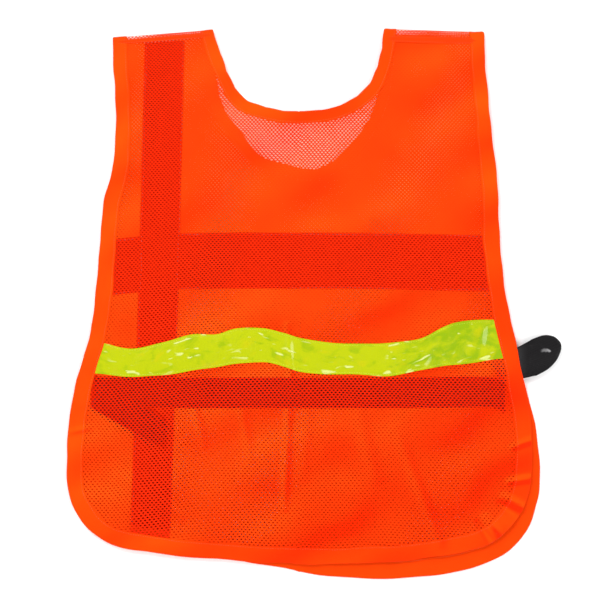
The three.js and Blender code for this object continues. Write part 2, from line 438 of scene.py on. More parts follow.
@dataclass(frozen=True)
class Swell:
    """Long shallow waves of cloth that lies loosely, summed from a few directions."""

    seed: int
    height: float
    shortest: float
    longest: float
    waves: int = 9

    def rise(self, across: np.ndarray, down: np.ndarray) -> np.ndarray:
        """Adds up the waves.

        Args:
            across: Distances from the centreline, in metres.
            down: Distances below the shoulder line, in metres.

        Returns:
            Heights between nought and the swell's height, in metres.
        """
        draw = np.random.default_rng(self.seed)
        total = np.zeros_like(across)
        for _ in range(self.waves):
            heading = draw.uniform(0, math.pi)
            length = draw.uniform(self.shortest, self.longest)
            phase = draw.uniform(0, 2 * math.pi)
            turn = 2 * math.pi / length
            total = total + np.sin((across * math.cos(heading) + down * math.sin(heading)) * turn + phase)
        return self.height * (0.5 + 0.5 * np.tanh(total / math.sqrt(self.waves)))


@dataclass
class Drape:
    """The laid vest: where any point of the pattern plane comes to rest."""

    cut: Cut
    centre: float
    shoulder: float
    front_height: float = 1.8 * MM
    back_height: float = 6.1 * MM
    front_swell: Swell = Swell(seed=11, height=0.75 * MM, shortest=0.07, longest=0.19)
    back_swell: Swell = Swell(seed=5, height=3.4 * MM, shortest=0.075, longest=0.24)
    ridges: tuple = (
        Ridge((-12, 432), (-19, 600), 1.3, 5.0),
        Ridge((14, 436), (4, 560), 0.5, 7.0),
        Ridge((-16, 372), (-10, 436), 1.6, 4.0),
        Ridge((-140, 440), (-118, 520), 1.3, 5.0),
        Ridge((-78, 445), (-60, 540), 1.0, 6.0),
        Ridge((120, 500), (176, 640), 1.5, 7.0),
        Ridge((252, 430), (226, 440), 3.2, 26.0),
        Ridge((-246, 455), (-186, 512), 2.6, 26.0),
        Ridge((70, 470), (96, 560), 1.2, 9.0),
        Ridge((-226, 560), (-150, 610), 1.2, 8.0),
        Ridge((266, 524), (292, 514), 3.0, 3.2),
        Ridge((262, 567), (292, 562), 3.2, 3.4),
        Ridge((256, 586), (284, 604), 3.8, 4.2),
        Ridge((250, 594), (276, 613), -1.6, 3.4),
        Ridge((232, 612), (252, 640), 3.6, 4.2),
        Ridge((222, 618), (241, 645), -1.6, 3.4),
        Ridge((-262, 500), (-290, 506), 0.6, 3.4),
    )
    # The painted fold light: its mean, how strongly it follows the slopes, its largest change, and how much darker it
    # grows towards the lower right; light_from is the way the light falls over the folds
    tone_level: float = 0.58
    tone_gain: float = 4.2
    tone_range: float = 0.42
    tone_fall: float = 0.3
    light_from: tuple = (0.52, 0.71)
    nudge: float = 1 * MM
    ease_over: tuple = (2 * MM, 34 * MM)
    flutter_height: float = 0.55 * MM
    flutter_width: float = 22 * MM
    edge: Path = field(init=False)
    neck: Path = field(init=False)

    def __post_init__(self) -> None:
        """Joins the outlines of the two panels over the shoulders into two closed edges."""
        back = self.laid(Panel.BACK, spline(self.cut.back_edge))
        front = self.laid(Panel.FRONT, spline(self.cut.front_edge))[::-1]
        self.edge = Path(evenly(np.vstack([back, front]), 2.5 * MM, closed=True), closed=True)
        back = self.laid(Panel.BACK, spline(self.cut.back_neck))
        front = self.laid(Panel.FRONT, spline(self.cut.front_neck))[::-1]
        self.neck = Path(evenly(np.vstack([back, front]), 2.0 * MM, closed=True), closed=True)

    @property
    def radius(self) -> float:
        """Radius of the turn over the shoulders."""
        return (self.back_height - self.front_height) / 2

    def fold_line(self, across: np.ndarray) -> np.ndarray:
        """Finds the fold, which slopes away from the neck on both sides.

        Args:
            across: Distances from the centreline.

        Returns:
            How far below the shoulder line the fold's top lies.
        """
        left = np.interp(-across, (0.109, 0.234), (2 * MM, 12 * MM))
        right = np.interp(across, (0.105, 0.230), (1 * MM, 5 * MM))
        return np.where(across < 0, left, right)

    def laid(self, panel: Panel, line: np.ndarray) -> np.ndarray:
        """Turns places on a laid panel into places of the pattern plane.

        Args:
            panel: The panel that the line lies on.
            line: Pairs of across and down, n by 2.

        Returns:
            Pairs of across and reach, n by 2.
        """
        r = self.radius
        drop = np.maximum(line[:, 1] - self.fold_line(line[:, 0]), 0.0)
        bent = r * np.arccos(np.clip(1 - drop / r, -1, 1))
        reach = np.where(drop < r, bent, r * math.pi / 2 + drop - r)
        return np.stack([line[:, 0], panel.value * reach], axis=1)

    def on(self, panel: Panel, points: tuple, step: float) -> Path:
        """Returns an evenly spaced open path through given points on a panel."""
        return Path(evenly(self.laid(panel, spline(points)), step))

    def place(self, spots: np.ndarray, lift: np.ndarray) -> np.ndarray:
        """Lays points of the vest down.

        Args:
            spots: Points of the pattern plane, n by 2.
            lift: Height over the middle of the cloth, positive towards its outer face.

        Returns:
            Points in the frame, n by 3.
        """
        across = spots[:, 0]
        reach = spots[:, 1]
        lift = np.broadcast_to(lift, across.shape)
        r = self.radius
        turn = np.clip(reach / r, -math.pi / 2, math.pi / 2)
        straight = np.maximum(np.abs(reach) - r * math.pi / 2, 0.0)
        down = self.fold_line(across) + r * (1 - np.cos(turn)) + straight
        height = (self.front_height + self.back_height) / 2 - r * np.sin(turn)
        ease = smoothstep(straight, *self.ease_over)
        height = height + ease * np.where(
            reach < 0, self.back_relief(across, down, spots), self.front_swell.rise(across, down)
        )
        across = across + self.sway(across, down, 0.0) * ease
        x = self.centre + across
        y = self.shoulder - down + lift * np.cos(turn) * (straight == 0)
        y = y - self.sway(across, down, 2.1) * ease
        return np.stack([x, y, height - lift * np.sin(turn)], axis=1)

    def folds(self, across: np.ndarray, down: np.ndarray) -> np.ndarray:
        """Adds up the back's swell and folds, before its edges are allowed for.

        Args:
            across: Distances from the centreline.
            down: Distances below the shoulder line.

        Returns:
            Heights over the back's lowest lie.
        """
        rise = self.back_swell.rise(across, down)
        for ridge in self.ridges:
            rise = rise + ridge.rise(across, down)
        return rise

    def tone(self, across: np.ndarray, down: np.ndarray) -> np.ndarray:
        """Works out the painted light on the back: lighter on fold slopes that face the light, darker on slopes turned
        away from it, and darker towards the lower right.

        Args:
            across: Distances from the centreline.
            down: Distances below the shoulder line.

        Returns:
            How light the painted colour is, from 0 to 1.
        """
        here = self.folds(across, down)
        east = (self.folds(across + self.nudge, down) - here) / self.nudge
        south = (self.folds(across, down + self.nudge) - here) / self.nudge
        # Painted light and shade: slopes that face the light grow lighter, the others darker
        slope = self.light_from[0] * east + self.light_from[1] * south
        slope = self.tone_range * np.tanh(self.tone_gain * slope / self.tone_range)
        # Darker towards the lower right
        fall = self.tone_fall * smoothstep(across * 0.9 + down, 0.33, 0.66)
        return np.clip(self.tone_level + slope - fall, 0, 1)

    def tint(self, piece: bpy.types.Object) -> None:
        """Writes the painted fold light on a piece. What belongs to the front, which lies below, stays even.

        Args:
            piece: A finished piece of cloth.
        """
        x, y, z = corners_of(piece).T
        fold_lit = self.tone(x - self.centre, self.shoulder - y)
        mark(piece, FOLD_LIGHT_AND_FALL, np.where(z > BLEND_END, fold_lit, 0.5))

    def back_relief(self, across: np.ndarray, down: np.ndarray, spots: np.ndarray) -> np.ndarray:
        """Works out how the back stands: its swell, its folds and its fluttering edges.

        Args:
            across: Distances from the centreline.
            down: Distances below the shoulder line.
            spots: The same places in the pattern plane, n by 2.

        Returns:
            Heights over the back's lowest lie, never below it.
        """
        rise = self.folds(across, down)
        for loop, wave in ((self.edge, 0.041), (self.neck, 0.029)):
            depth, along = loop.locate(spots)
            turn = 2 * math.pi * along / wave
            flutter = np.sin(turn) * np.sin(turn / 3.7 + 1.0)
            fade = np.exp(-np.abs(depth) / self.flutter_width)
            rise = rise * (1 - 0.35 * fade) + self.flutter_height * (1 + flutter) * fade
        return np.maximum(rise, 0.0)

    @staticmethod
    def sway(across: np.ndarray, down: np.ndarray, phase: float) -> np.ndarray:
        """Works out the sideways wander of the threads.

        Args:
            across: Distances from the centreline.
            down: Distances below the shoulder line.
            phase: Where the waves start, so that two directions don't move alike.

        Returns:
            Shifts of under a millimetre, in metres.
        """
        slow = np.sin(across * 71 + down * 53 + phase)
        quick = np.sin(down * 149 - across * 97 + 1.7 * phase)
        return 0.45 * MM * slow + 0.3 * MM * quick


# ---------------------------------------------------------------------------------------------
# Meshes
# ---------------------------------------------------------------------------------------------


def volume_of(points: np.ndarray, faces: list) -> float:
    """Measures a closed mesh.

    Args:
        points: Corners, n by 3.
        faces: Lists of corner numbers.

    Returns:
        The signed volume inside, positive when the faces point outwards.
    """
    corners = []
    for f in faces:
        corners.extend((f[0], f[k], f[k + 1]) for k in range(1, len(f) - 1))
    c = np.array(corners, int)
    a, b, d = (points[c[:, k]] for k in (0, 1, 2))
    return float((a * np.cross(b, d)).sum() / 6)


def corners_of(piece: bpy.types.Object) -> np.ndarray:
    """Reads the points of a piece.

    Args:
        piece: Any piece.

    Returns:
        Its points, n by 3.
    """
    places = np.zeros(len(piece.data.vertices) * 3)
    piece.data.vertices.foreach_get("co", places)
    return places.reshape(-1, 3)


def mark(piece: bpy.types.Object, name: str, values: np.ndarray) -> None:
    """Writes a number for every point of a piece, for its finish to read.

    Args:
        piece: The piece.
        name: What the numbers are called.
        values: One number for each point, or one for all.
    """
    attribute = piece.data.attributes.new(name, "FLOAT", "POINT")
    values = np.broadcast_to(np.asarray(values, np.float32).ravel(), len(piece.data.vertices))
    attribute.data.foreach_set("value", np.ascontiguousarray(values))


def add_mesh(
    name: str, points: np.ndarray, faces: list, wraps: np.ndarray, crease: float = 50.0
) -> bpy.types.Object:
    """Makes an object from points and faces.

    Args:
        name: Name of the piece.
        points: Corners, n by 3.
        faces: Lists of corner numbers.
        wraps: UV of every face corner, in face order.
        crease: Angle in degrees over which an edge stays sharp.

    Returns:
        The new object, smooth shaded.
    """
    mesh = bpy.data.meshes.new(name)
    mesh.from_pydata(points.tolist(), [], faces)
    layer = mesh.uv_layers.new(name="cloth")
    layer.data.foreach_set("uv", np.asarray(wraps, np.float32).ravel())
    mesh.shade_smooth()
    mesh.set_sharp_from_angle(angle=math.radians(crease))
    mesh.update()
    piece = bpy.data.objects.new(name, mesh)
    bpy.context.scene.collection.objects.link(piece)
    return piece


def add_shell(
    name: str, rings: np.ndarray, along: np.ndarray, around: np.ndarray, closed: bool = False
) -> bpy.types.Object:
    """Skins a row of closed rings into a thin solid band.

    Args:
        name: Name of the piece.
        rings: Corner places, n rings by m points by 3.
        along: Distance of each ring along the band, with one more entry if it is closed.
        around: UV distance of each ring point, m entries.
        closed: Whether the last ring joins the first. Otherwise both ends are capped.

    Returns:
        The new object.
    """
    n, m = rings.shape[:2]
    faces = []
    wraps = []
    past = np.append(around, around[-1] + (around[-1] - around[-2]))
    for i in range(n if closed else n - 1):
        k = (i + 1) % n
        for j in range(m):
            q = (j + 1) % m
            faces.append((i * m + j, k * m + j, k * m + q, i * m + q))
            wraps += [(along[i], past[j]), (along[i + 1], past[j])]
            wraps += [(along[i + 1], past[j + 1]), (along[i], past[j + 1])]
    if not closed:
        for i, order in ((0, range(m)), (n - 1, reversed(range(m)))):
            cap = [(i * m + j, (along[i], around[j])) for j in order]
            faces.append(tuple(c[0] for c in cap))
            wraps += [c[1] for c in cap]
    points = rings.reshape(-1, 3)
    piece = add_mesh(name, points, faces, np.array(wraps))
    if volume_of(points, faces) < 0:
        piece.data.flip_normals()
    return piece


def flat_ring(width: float, thickness: float, points: int, crown: float = 0.0) -> tuple:
    """Returns the section of a flat band, centred on its path.

    Args:
        width: Full width of the band.
        thickness: Thickness of the cloth.
        points: Points over each face.
        crown: How much the middle stands over the edges.

    Returns:
        Offsets and lifts of the ring's points, lower face first.
    """
    line = np.linspace(-0.5, 0.5, points)
    puff = crown * (1 - (2 * line) ** 2)
    offsets = np.concatenate([line * width, line[::-1] * width])
    lifts = np.concatenate([puff, puff[::-1] + thickness])
    return offsets, lifts


@dataclass
class Band:
    """A tape, strip or binding that follows a path on the drape."""

    drape: Drape
    path: Path

    def build(self, name: str, offsets: np.ndarray, lifts: np.ndarray) -> bpy.types.Object:
        """Sweeps a section along the path.

        Args:
            name: Name of the piece.
            offsets: Distance inward of each section point, m or n by m.
            lifts: Height of each section point over the cloth, m or n by m.

        Returns:
            The new object.
        """
        p = self.path
        n = len(p.points)
        offsets = np.broadcast_to(offsets, (n, np.shape(offsets)[-1]))
        lifts = np.broadcast_to(lifts, offsets.shape)
        spots = p.points[:, None, :] + p.inward[:, None, :] * offsets[:, :, None]
        rings = self.drape.place(spots.reshape(-1, 2), lifts.reshape(-1)).reshape(n, -1, 3)
        first = np.stack([offsets[0], lifts[0]], axis=1)
        around = run_along(first)
        along = np.append(p.along, p.length) if p.closed else p.along
        return add_shell(name, rings, along, around, p.closed)


@dataclass
class Binding:
    """Tape folded over a cut edge and sewn through, with its raw edges turned in."""

    drape: Drape
    path: Path
    width: float
    thickness: float = 0.32 * MM
    stand: float = 0.36 * MM
    slim: float = 0.15
    broad: float = 0.14
    scallop: float = 0.4 * MM
    scallop_length: float = 58 * MM
    groove: float = 0.16 * MM
    stitch_in: float = 2.0 * MM

    def turns(self, length: float) -> np.ndarray:
        """Fits whole waves round the binding, so that they meet where it closes.

        Args:
            length: About how long one wave is.

        Returns:
            Angles along the path, n by 1, that grow by a full turn with each wave.
        """
        whole = max(round(self.path.length / length), 1)
        return 2 * math.pi * whole * self.path.along[:, None] / self.path.length

    def section(self) -> tuple:
        """Lays out the folded tape in section.

        Returns:
            Offsets and lifts, once round from the hem on its outer face.
        """
        w = self.width
        high = self.stand + self.thickness
        outside = (
            (w, 0.55 * high), (w - 0.5 * MM, high), (w - 1.2 * MM, high + 0.1 * MM),
            (w - self.stitch_in, high - self.groove), (w - 2.9 * MM, high + 0.1 * MM),
            (w * 0.55, high + 0.16 * MM), (2.2 * MM, high + 0.06 * MM), (0.7 * MM, high * 0.8), (0.0, 0.0),
        )
        inside = (
            (w - 0.2 * MM, self.stand * 0.35), (w * 0.5, self.stand), (2.0 * MM, self.stand * 0.8),
            (0.6 * MM, 0.0),
        )
        ring = list(outside)
        ring += [(d, -h) for d, h in reversed(outside[:-1])]
        ring += [(d, -h) for d, h in inside[:-1]]
        ring += [inside[-1]]
        ring += [(d, h) for d, h in reversed(inside[:-1])]
        return np.array([p[0] for p in ring]), np.array([p[1] for p in ring])

    def taper(self) -> np.ndarray:
        """Works out how wide the tape lies: slim at the armholes and broad at the front hem.

        Returns:
            Its share of the full width at each point of the path.
        """
        reach = self.path.points[:, 1]
        slim = self.slim * (1 - smoothstep(np.abs(reach), 0.04, 0.22))
        return 1 - slim + self.broad * smoothstep(reach, 0.58, 0.64)

    def lane(self) -> Path:
        """Finds the line that the tape is sewn along, just outside its turned edge.

        Returns:
            A closed, evenly spaced path.
        """
        depth = self.width * self.taper() - self.stitch_in
        spots = self.path.points + self.path.inward * depth[:, None]
        return Path(evenly(spots, 2 * MM, closed=True), closed=True)

    def build(self, name: str) -> bpy.types.Object:
        """Makes the binding as one closed band.

        Args:
            name: Name of the piece.

        Returns:
            The new object.
        """
        offsets, lifts = self.section()
        pucker = 0.25 * np.sin(self.turns(0.0113)) * np.sin(self.turns(0.047) + 0.6)
        pucker = pucker + 0.3 * np.sin(self.turns(0.0271) + 2.0)
        share = np.clip(offsets / self.width, 0, 1)[None, :]
        grown = 1 + 0.22 * pucker * share
        creep = 0.35 * MM * np.sin(self.turns(0.062) + 0.4) * share
        uneven = 0.65 + 0.35 * np.sin(self.turns(0.21))
        bows = uneven * np.abs(np.sin(self.turns(2 * self.scallop_length)))
        creep = creep - self.scallop * bows * (1 - share)
        spread = np.broadcast_to(offsets, (len(self.path.points), len(offsets)))
        return Band(self.drape, self.path).build(
            name, spread * self.taper()[:, None] + creep, lifts[None, :] * grown
        )


@dataclass
class StitchRow:
    """A lockstitch seam: the same short thread laid again and again along a path."""

    drape: Drape
    pitch: float = 3.1 * MM
    length: float = 2.5 * MM
    thread: float = 0.42 * MM

    def one_stitch(self) -> tuple:
        """Models one stitch with tapered ends that dive into the cloth.

        Returns:
            Its points, lying along X, and its faces.
        """
        bpy.ops.object.select_all(action="DESELECT")
        bpy.ops.mesh.primitive_uv_sphere_add(
            segments=6, ring_count=4, radius=0.5, rotation=(0, math.pi / 2, 0)
        )
        stitch = bpy.context.object
        bpy.ops.object.transform_apply(location=False, rotation=True, scale=False)
        bpy.ops.object.mode_set(mode="EDIT")
        bpy.ops.mesh.select_all(action="SELECT")
        bpy.ops.transform.resize(value=(self.length, self.thread, self.thread * 0.75))
        bpy.ops.object.mode_set(mode="OBJECT")
        points = np.array([v.co for v in stitch.data.vertices], float)
        points[:, 2] -= self.thread * 0.45 * (2 * points[:, 0] / self.length) ** 2
        faces = [tuple(f.vertices) for f in stitch.data.polygons]
        bpy.data.objects.remove(stitch)
        return points, faces

    def build(self, name: str, rows: list) -> bpy.types.Object:
        """Lays stitches along rows.

        Args:
            name: Name of the piece.
            rows: Pairs of a path and a lift, one pair for each row.

        Returns:
            All the stitches as one object.
        """
        shape, shape_faces = self.one_stitch()
        points = []
        faces = []
        wraps = []
        count = 0
        for path, lift in rows:
            spots = evenly(path.points, self.pitch, path.closed)
            lane = Path(spots, path.closed)
            ahead = np.stack([lane.inward[:, 1], -lane.inward[:, 0]], axis=1) * 0.3 * self.pitch
            middle = self.drape.place(spots, lift)
            x = self.drape.place(spots + ahead, lift) - self.drape.place(spots - ahead, lift)
            x = x / np.linalg.norm(x, axis=1)[:, None]
            z = self.drape.place(spots, lift + math.copysign(0.4 * MM, lift)) - middle
            z = z / np.linalg.norm(z, axis=1)[:, None]
            y = np.cross(z, x)
            y = y / np.linalg.norm(y, axis=1)[:, None]
            z = np.cross(x, y)
            made = (
                middle[:, None, :]
                + shape[None, :, :1] * x[:, None, :]
                + shape[None, :, 1:2] * y[:, None, :]
                + shape[None, :, 2:] * z[:, None, :]
            )
            points.append(made.reshape(-1, 3))
            for i in range(len(spots)):
                base = count + i * len(shape)
                for f in shape_faces:
                    faces.append(tuple(base + k for k in f))
                    wraps.extend((shape[k, 0] + lane.along[i], shape[k, 1]) for k in f)
            count += len(spots) * len(shape)
        return add_mesh(name, np.vstack(points), faces, np.array(wraps), crease=180.0)


@dataclass
class Net:
    """Knitted net cloth: a honeycomb of strands round open holes."""

    drape: Drape
    across_pitch: tuple = (4.45 * MM, 5.3 * MM)
    row_pitch: tuple = (2.27 * MM, 3.15 * MM)
    stretch_over: float = 0.66
    hole: float = 0.54
    hole_at_fold: float = 0.62
    turn: float = 0.0
    warp: float = 0.0
    pulled_over: tuple = (7 * MM, 13 * MM)
    unevenness: float = 0.07
    seed: int = 17

    def knots(self, low: tuple, high: tuple) -> tuple:
        """Lays out the lattice of hole centres.

        Args:
            low: Lowest across and reach to cover.
            high: Highest across and reach to cover.

        Returns:
            Column numbers, row numbers and pattern places of the holes.
        """
        side = 1.0 if high[1] > -low[1] else -1.0
        columns = int(high[0] / self.across_pitch[0]) + 6
        rows = int(max(high[1], -low[1]) / self.row_pitch[0]) + 12
        i, j = np.meshgrid(np.arange(-columns, columns + 1), np.arange(-14, rows + 1), indexing="ij")
        i = i.ravel()
        j = j.ravel()
        growth = (self.row_pitch[1] - self.row_pitch[0]) / self.stretch_over
        reach = self.row_pitch[0] / growth * (np.exp(growth * j) - 1)
        wide = (self.across_pitch[1] - self.across_pitch[0]) / self.stretch_over
        shifted = i + 0.5 * (j & 1)
        flat = np.stack([shifted * (self.across_pitch[0] + wide * reach), side * reach], axis=1)
        c = math.cos(self.turn)
        s = math.sin(self.turn)
        places = flat @ np.array([[c, s], [-s, c]])
        bend = self.warp * np.sin(places[:, 1] * 13.0 * side + 0.8) * np.cos(places[:, 0] * 9.0)
        lean = self.warp * np.sin(places[:, 0] * 17.0 + places[:, 1] * 6.0 * side)
        places = places + np.stack([bend, lean], axis=1)
        keep = (places > np.array(low)).all(1) & (places < np.array(high)).all(1)
        return i[keep], j[keep], places[keep]

    def build(
        self, name: str, kept: Callable[[np.ndarray], np.ndarray], low: tuple, high: tuple, lift: float
    ) -> tuple:
        """Knits the net inside an area.

        Args:
            name: Name of the piece.
            kept: A function of places that says which holes belong to the panel.
            low: Lowest across and reach to cover.
            high: Highest across and reach to cover.
            lift: Height of the strands over the middle of the cloth.

        Returns:
            The new object and the area of its strands.
        """
        i, j, places = self.knots(low, high)
        chosen = kept(places)
        i = i[chosen]
        j = j[chosen]
        places = places[chosen]
        index = {(int(a), int(b)): k for k, (a, b) in enumerate(zip(i, j))}
        angle = np.radians(30 + 60 * np.arange(6)) + self.turn
        side = 1.0 if high[1] > -low[1] else -1.0
        share = np.clip(np.abs(places[:, 1]) / self.stretch_over, 0, 1.1)[:, None]
        wide = self.across_pitch[0] * (1 - share) + self.across_pitch[1] * share
        tall = self.row_pitch[0] * (1 - share) + self.row_pitch[1] * share
        ring = np.stack([np.cos(angle), np.sin(angle)], axis=1)
        pulled = 1 - smoothstep(np.abs(places[:, 1]), *self.pulled_over)
        opened = (self.hole + (self.hole_at_fold - self.hole) * pulled)[:, None, None]
        span = np.concatenate([wide / math.sqrt(3), tall * 2 / 3], axis=1)
        corner = ring[None, :, :] * span[:, None, :] * np.array([1.0, side]) * opened
        draw = np.random.default_rng(self.seed)
        size = 1 + draw.uniform(-self.unevenness, self.unevenness, (len(places), 1, 1))
        spots = places[:, None, :] + corner * size
        faces = self.strands(i, j, index)
        if side < 0:
            faces = [tuple(reversed(f)) for f in faces]
        flat = spots.reshape(-1, 2)
        used = np.unique(np.concatenate([np.array(f) for f in faces]))
        renumber = np.full(len(flat), -1)
        renumber[used] = np.arange(len(used))
        faces = [tuple(int(renumber[v]) for v in f) for f in faces]
        flat = flat[used]
        laid = self.drape.place(flat, lift)
        wraps = flat[np.concatenate([np.array(f) for f in faces])]
        piece = add_mesh(name, laid, faces, wraps, crease=180.0)
        area = 0.0
        for f in faces:
            for k in range(1, len(f) - 1):
                u = flat[f[k]] - flat[f[0]]
                v = flat[f[k + 1]] - flat[f[0]]
                area += abs(u[0] * v[1] - u[1] * v[0]) / 2
        return piece, area

    @staticmethod
    def strands(i: np.ndarray, j: np.ndarray, index: dict) -> list:
        """Joins the rims of neighbouring holes by strands, and fills the knots between them.

        Args:
            i: Column numbers of the holes.
            j: Row numbers of the holes.
            index: Number of the hole at each pair of a column and a row. Each has six corners.

        Returns:
            Faces, as lists of corner numbers.
        """
        faces = []
        for k, (a, b) in enumerate(zip(i, j)):
            odd = int(b) & 1
            east = index.get((int(a) + 1, int(b)))
            north_east = index.get((int(a) + odd, int(b) + 1))
            north_west = index.get((int(a) - 1 + odd, int(b) + 1))
            base = 6 * k
            if east is not None:
                e = 6 * east
                faces.append((base + 5, e + 3, e + 2, base))
            if north_east is not None:
                n = 6 * north_east
                faces.append((base, n + 4, n + 3, base + 1))
            if north_west is not None:
                n = 6 * north_west
                faces.append((base + 1, n + 5, n + 4, base + 2))
            if east is not None and north_east is not None:
                faces.append((base, 6 * east + 2, 6 * north_east + 4))
            if north_east is not None and north_west is not None:
                faces.append((base + 1, 6 * north_east + 3, 6 * north_west + 5))
        return faces


# ---------------------------------------------------------------------------------------------
# Materials
# ---------------------------------------------------------------------------------------------


class Wire:
    """A number that flows between a material's nodes."""

    def __init__(self, bench: "Bench", socket: bpy.types.NodeSocket) -> None:
        """Keeps the bench that the socket's node stands on."""
        self.bench = bench
        self.socket = socket

    def __add__(self, other: object) -> "Wire":
        """Returns the sum."""
        return self.bench.maths("ADD", self, other)

    __radd__ = __add__

    def __sub__(self, other: object) -> "Wire":
        """Returns the difference."""
        return self.bench.maths("SUBTRACT", self, other)

    def __rsub__(self, other: object) -> "Wire":
        """Returns the difference taken from a number."""
        return self.bench.maths("SUBTRACT", other, self)

    def __mul__(self, other: object) -> "Wire":
        """Returns the product."""
        return self.bench.maths("MULTIPLY", self, other)

    __rmul__ = __mul__

    def above(self, low: float, high: float) -> "Wire":
        """Makes an eased mask.

        Args:
            low: Value at which the mask starts to rise from 0.
            high: Value at which it reaches 1.

        Returns:
            The mask.
        """
        node = self.bench.node(
            "ShaderNodeMapRange",
            {"interpolation_type": "SMOOTHSTEP"},
            {"Value": self, "From Min": low, "From Max": high},
        )
        return Wire(self.bench, node.outputs["Result"])


class Bench:
    """Builds the nodes of one material."""

    def __init__(self, name: str) -> None:
        """Starts an empty material.

        Args:
            name: Name of the material.
        """
        self.material = bpy.data.materials.new(name)
        self.material.use_nodes = True
        self.tree = self.material.node_tree
        self.tree.nodes.clear()

    def node(self, kind: str, settings: dict, inputs: dict) -> bpy.types.Node:
        """Adds a node.

        Args:
            kind: Type name of the node.
            settings: Its own settings, set first.
            inputs: Values or links of its sockets, by name or number.

        Returns:
            The new node.
        """
        made = self.tree.nodes.new(kind)
        for key, value in settings.items():
            setattr(made, key, value)
        for key, value in inputs.items():
            self.feed(made.inputs[key], value)
        return made

    def feed(self, socket: bpy.types.NodeSocket, value: object) -> None:
        """Links a wire or socket to an input, or sets the input's value.

        Args:
            socket: The input.
            value: A wire, an output socket, a colour or a plain value.
        """
        if isinstance(value, Wire):
            self.tree.links.new(value.socket, socket)
        elif isinstance(value, bpy.types.NodeSocket):
            self.tree.links.new(value, socket)
        elif isinstance(value, tuple) and len(value) == 3 and socket.type == "RGBA":
            socket.default_value = (*value, 1.0)
        else:
            socket.default_value = value

    def maths(self, operation: str, *values: object) -> Wire:
        """Returns the outcome of a Math node."""
        made = self.node("ShaderNodeMath", {"operation": operation}, dict(enumerate(values)))
        return Wire(self, made.outputs[0])

    def place(self) -> bpy.types.NodeSocket:
        """Returns the point on the object, in metres."""
        return self.node("ShaderNodeTexCoord", {}, {}).outputs["Object"]

    def cloth(self) -> bpy.types.NodeSocket:
        """Returns the point on the cut cloth, in metres."""
        return self.node("ShaderNodeUVMap", {"uv_map": "cloth"}, {}).outputs["UV"]

    def carried(self, name: str) -> Wire:
        """Returns a number that the piece carries from point to point."""
        made = self.node("ShaderNodeAttribute", {"attribute_name": name}, {})
        return Wire(self, made.outputs["Fac"])

    def stretched(
        self, vector: bpy.types.NodeSocket, scale: tuple, turn: float = 0.0
    ) -> bpy.types.NodeSocket:
        """Turns and scales a vector.

        Args:
            vector: The vector, in metres.
            scale: Factor for each axis. A smaller one draws the pattern out along that axis.
            turn: Angle about Z, in radians.

        Returns:
            The new vector.
        """
        turned = (0, 0, turn)
        made = self.node("ShaderNodeMapping", {}, {"Vector": vector, "Scale": scale, "Rotation": turned})
        return made.outputs["Vector"]

    def noise(
        self, vector: bpy.types.NodeSocket, scale: float, detail: float = 3.0, lumps: float = 0.0
    ) -> Wire:
        """Makes cloudy noise.

        Args:
            vector: Where the pattern is read.
            scale: Clouds for each metre.
            detail: How many finer layers are laid over the clouds.
            lumps: How strongly the clouds are stirred.

        Returns:
            The noise, from 0 to 1.
        """
        inputs = {"Vector": vector, "Scale": scale, "Detail": detail, "Distortion": lumps}
        made = self.node("ShaderNodeTexNoise", {}, inputs)
        return Wire(self, made.outputs["Fac"])

    def ribs(self, vector: bpy.types.NodeSocket, axis: str, pitch: float) -> Wire:
        """Makes even ribs.

        Args:
            vector: Where the pattern is read.
            axis: Name of the axis that the ribs follow one another along.
            pitch: Distance from one rib to the next.

        Returns:
            The height of the ribs, from 0 to 1.
        """
        made = self.node(
            "ShaderNodeTexWave",
            {"wave_type": "BANDS", "bands_direction": axis, "wave_profile": "SIN"},
            {"Vector": vector, "Scale": math.pi / (10 * pitch), "Distortion": 0.0},
        )
        return Wire(self, made.outputs["Fac"])

    def weave(self, vector: bpy.types.NodeSocket, pitch: float) -> Wire:
        """Returns the height of a plain weave with the same pitch both ways."""
        return self.ribs(vector, "X", pitch) * self.ribs(vector, "Y", pitch)

    def blend(self, factor: object, first: object, second: object) -> bpy.types.NodeSocket:
        """Returns a mix of two colours."""
        made = self.node("ShaderNodeMix", {"data_type": "RGBA"}, {0: factor, 6: first, 7: second})
        return made.outputs[2]

    def bump(self, height: Wire, depth: float) -> bpy.types.NodeSocket:
        """Returns a normal that is tilted by a height, depth metres from lowest to highest."""
        made = self.node("ShaderNodeBump", {}, {"Height": height, "Distance": depth})
        return made.outputs["Normal"]

    def finish(self, inputs: dict) -> bpy.types.Material:
        """Ends the material in a Principled surface.

        Args:
            inputs: Values or links of the shader's sockets.

        Returns:
            The finished material.
        """
        shader = self.node("ShaderNodeBsdfPrincipled", {}, inputs)
        self.node("ShaderNodeOutputMaterial", {}, {"Surface": shader.outputs["BSDF"]})
        return self.material


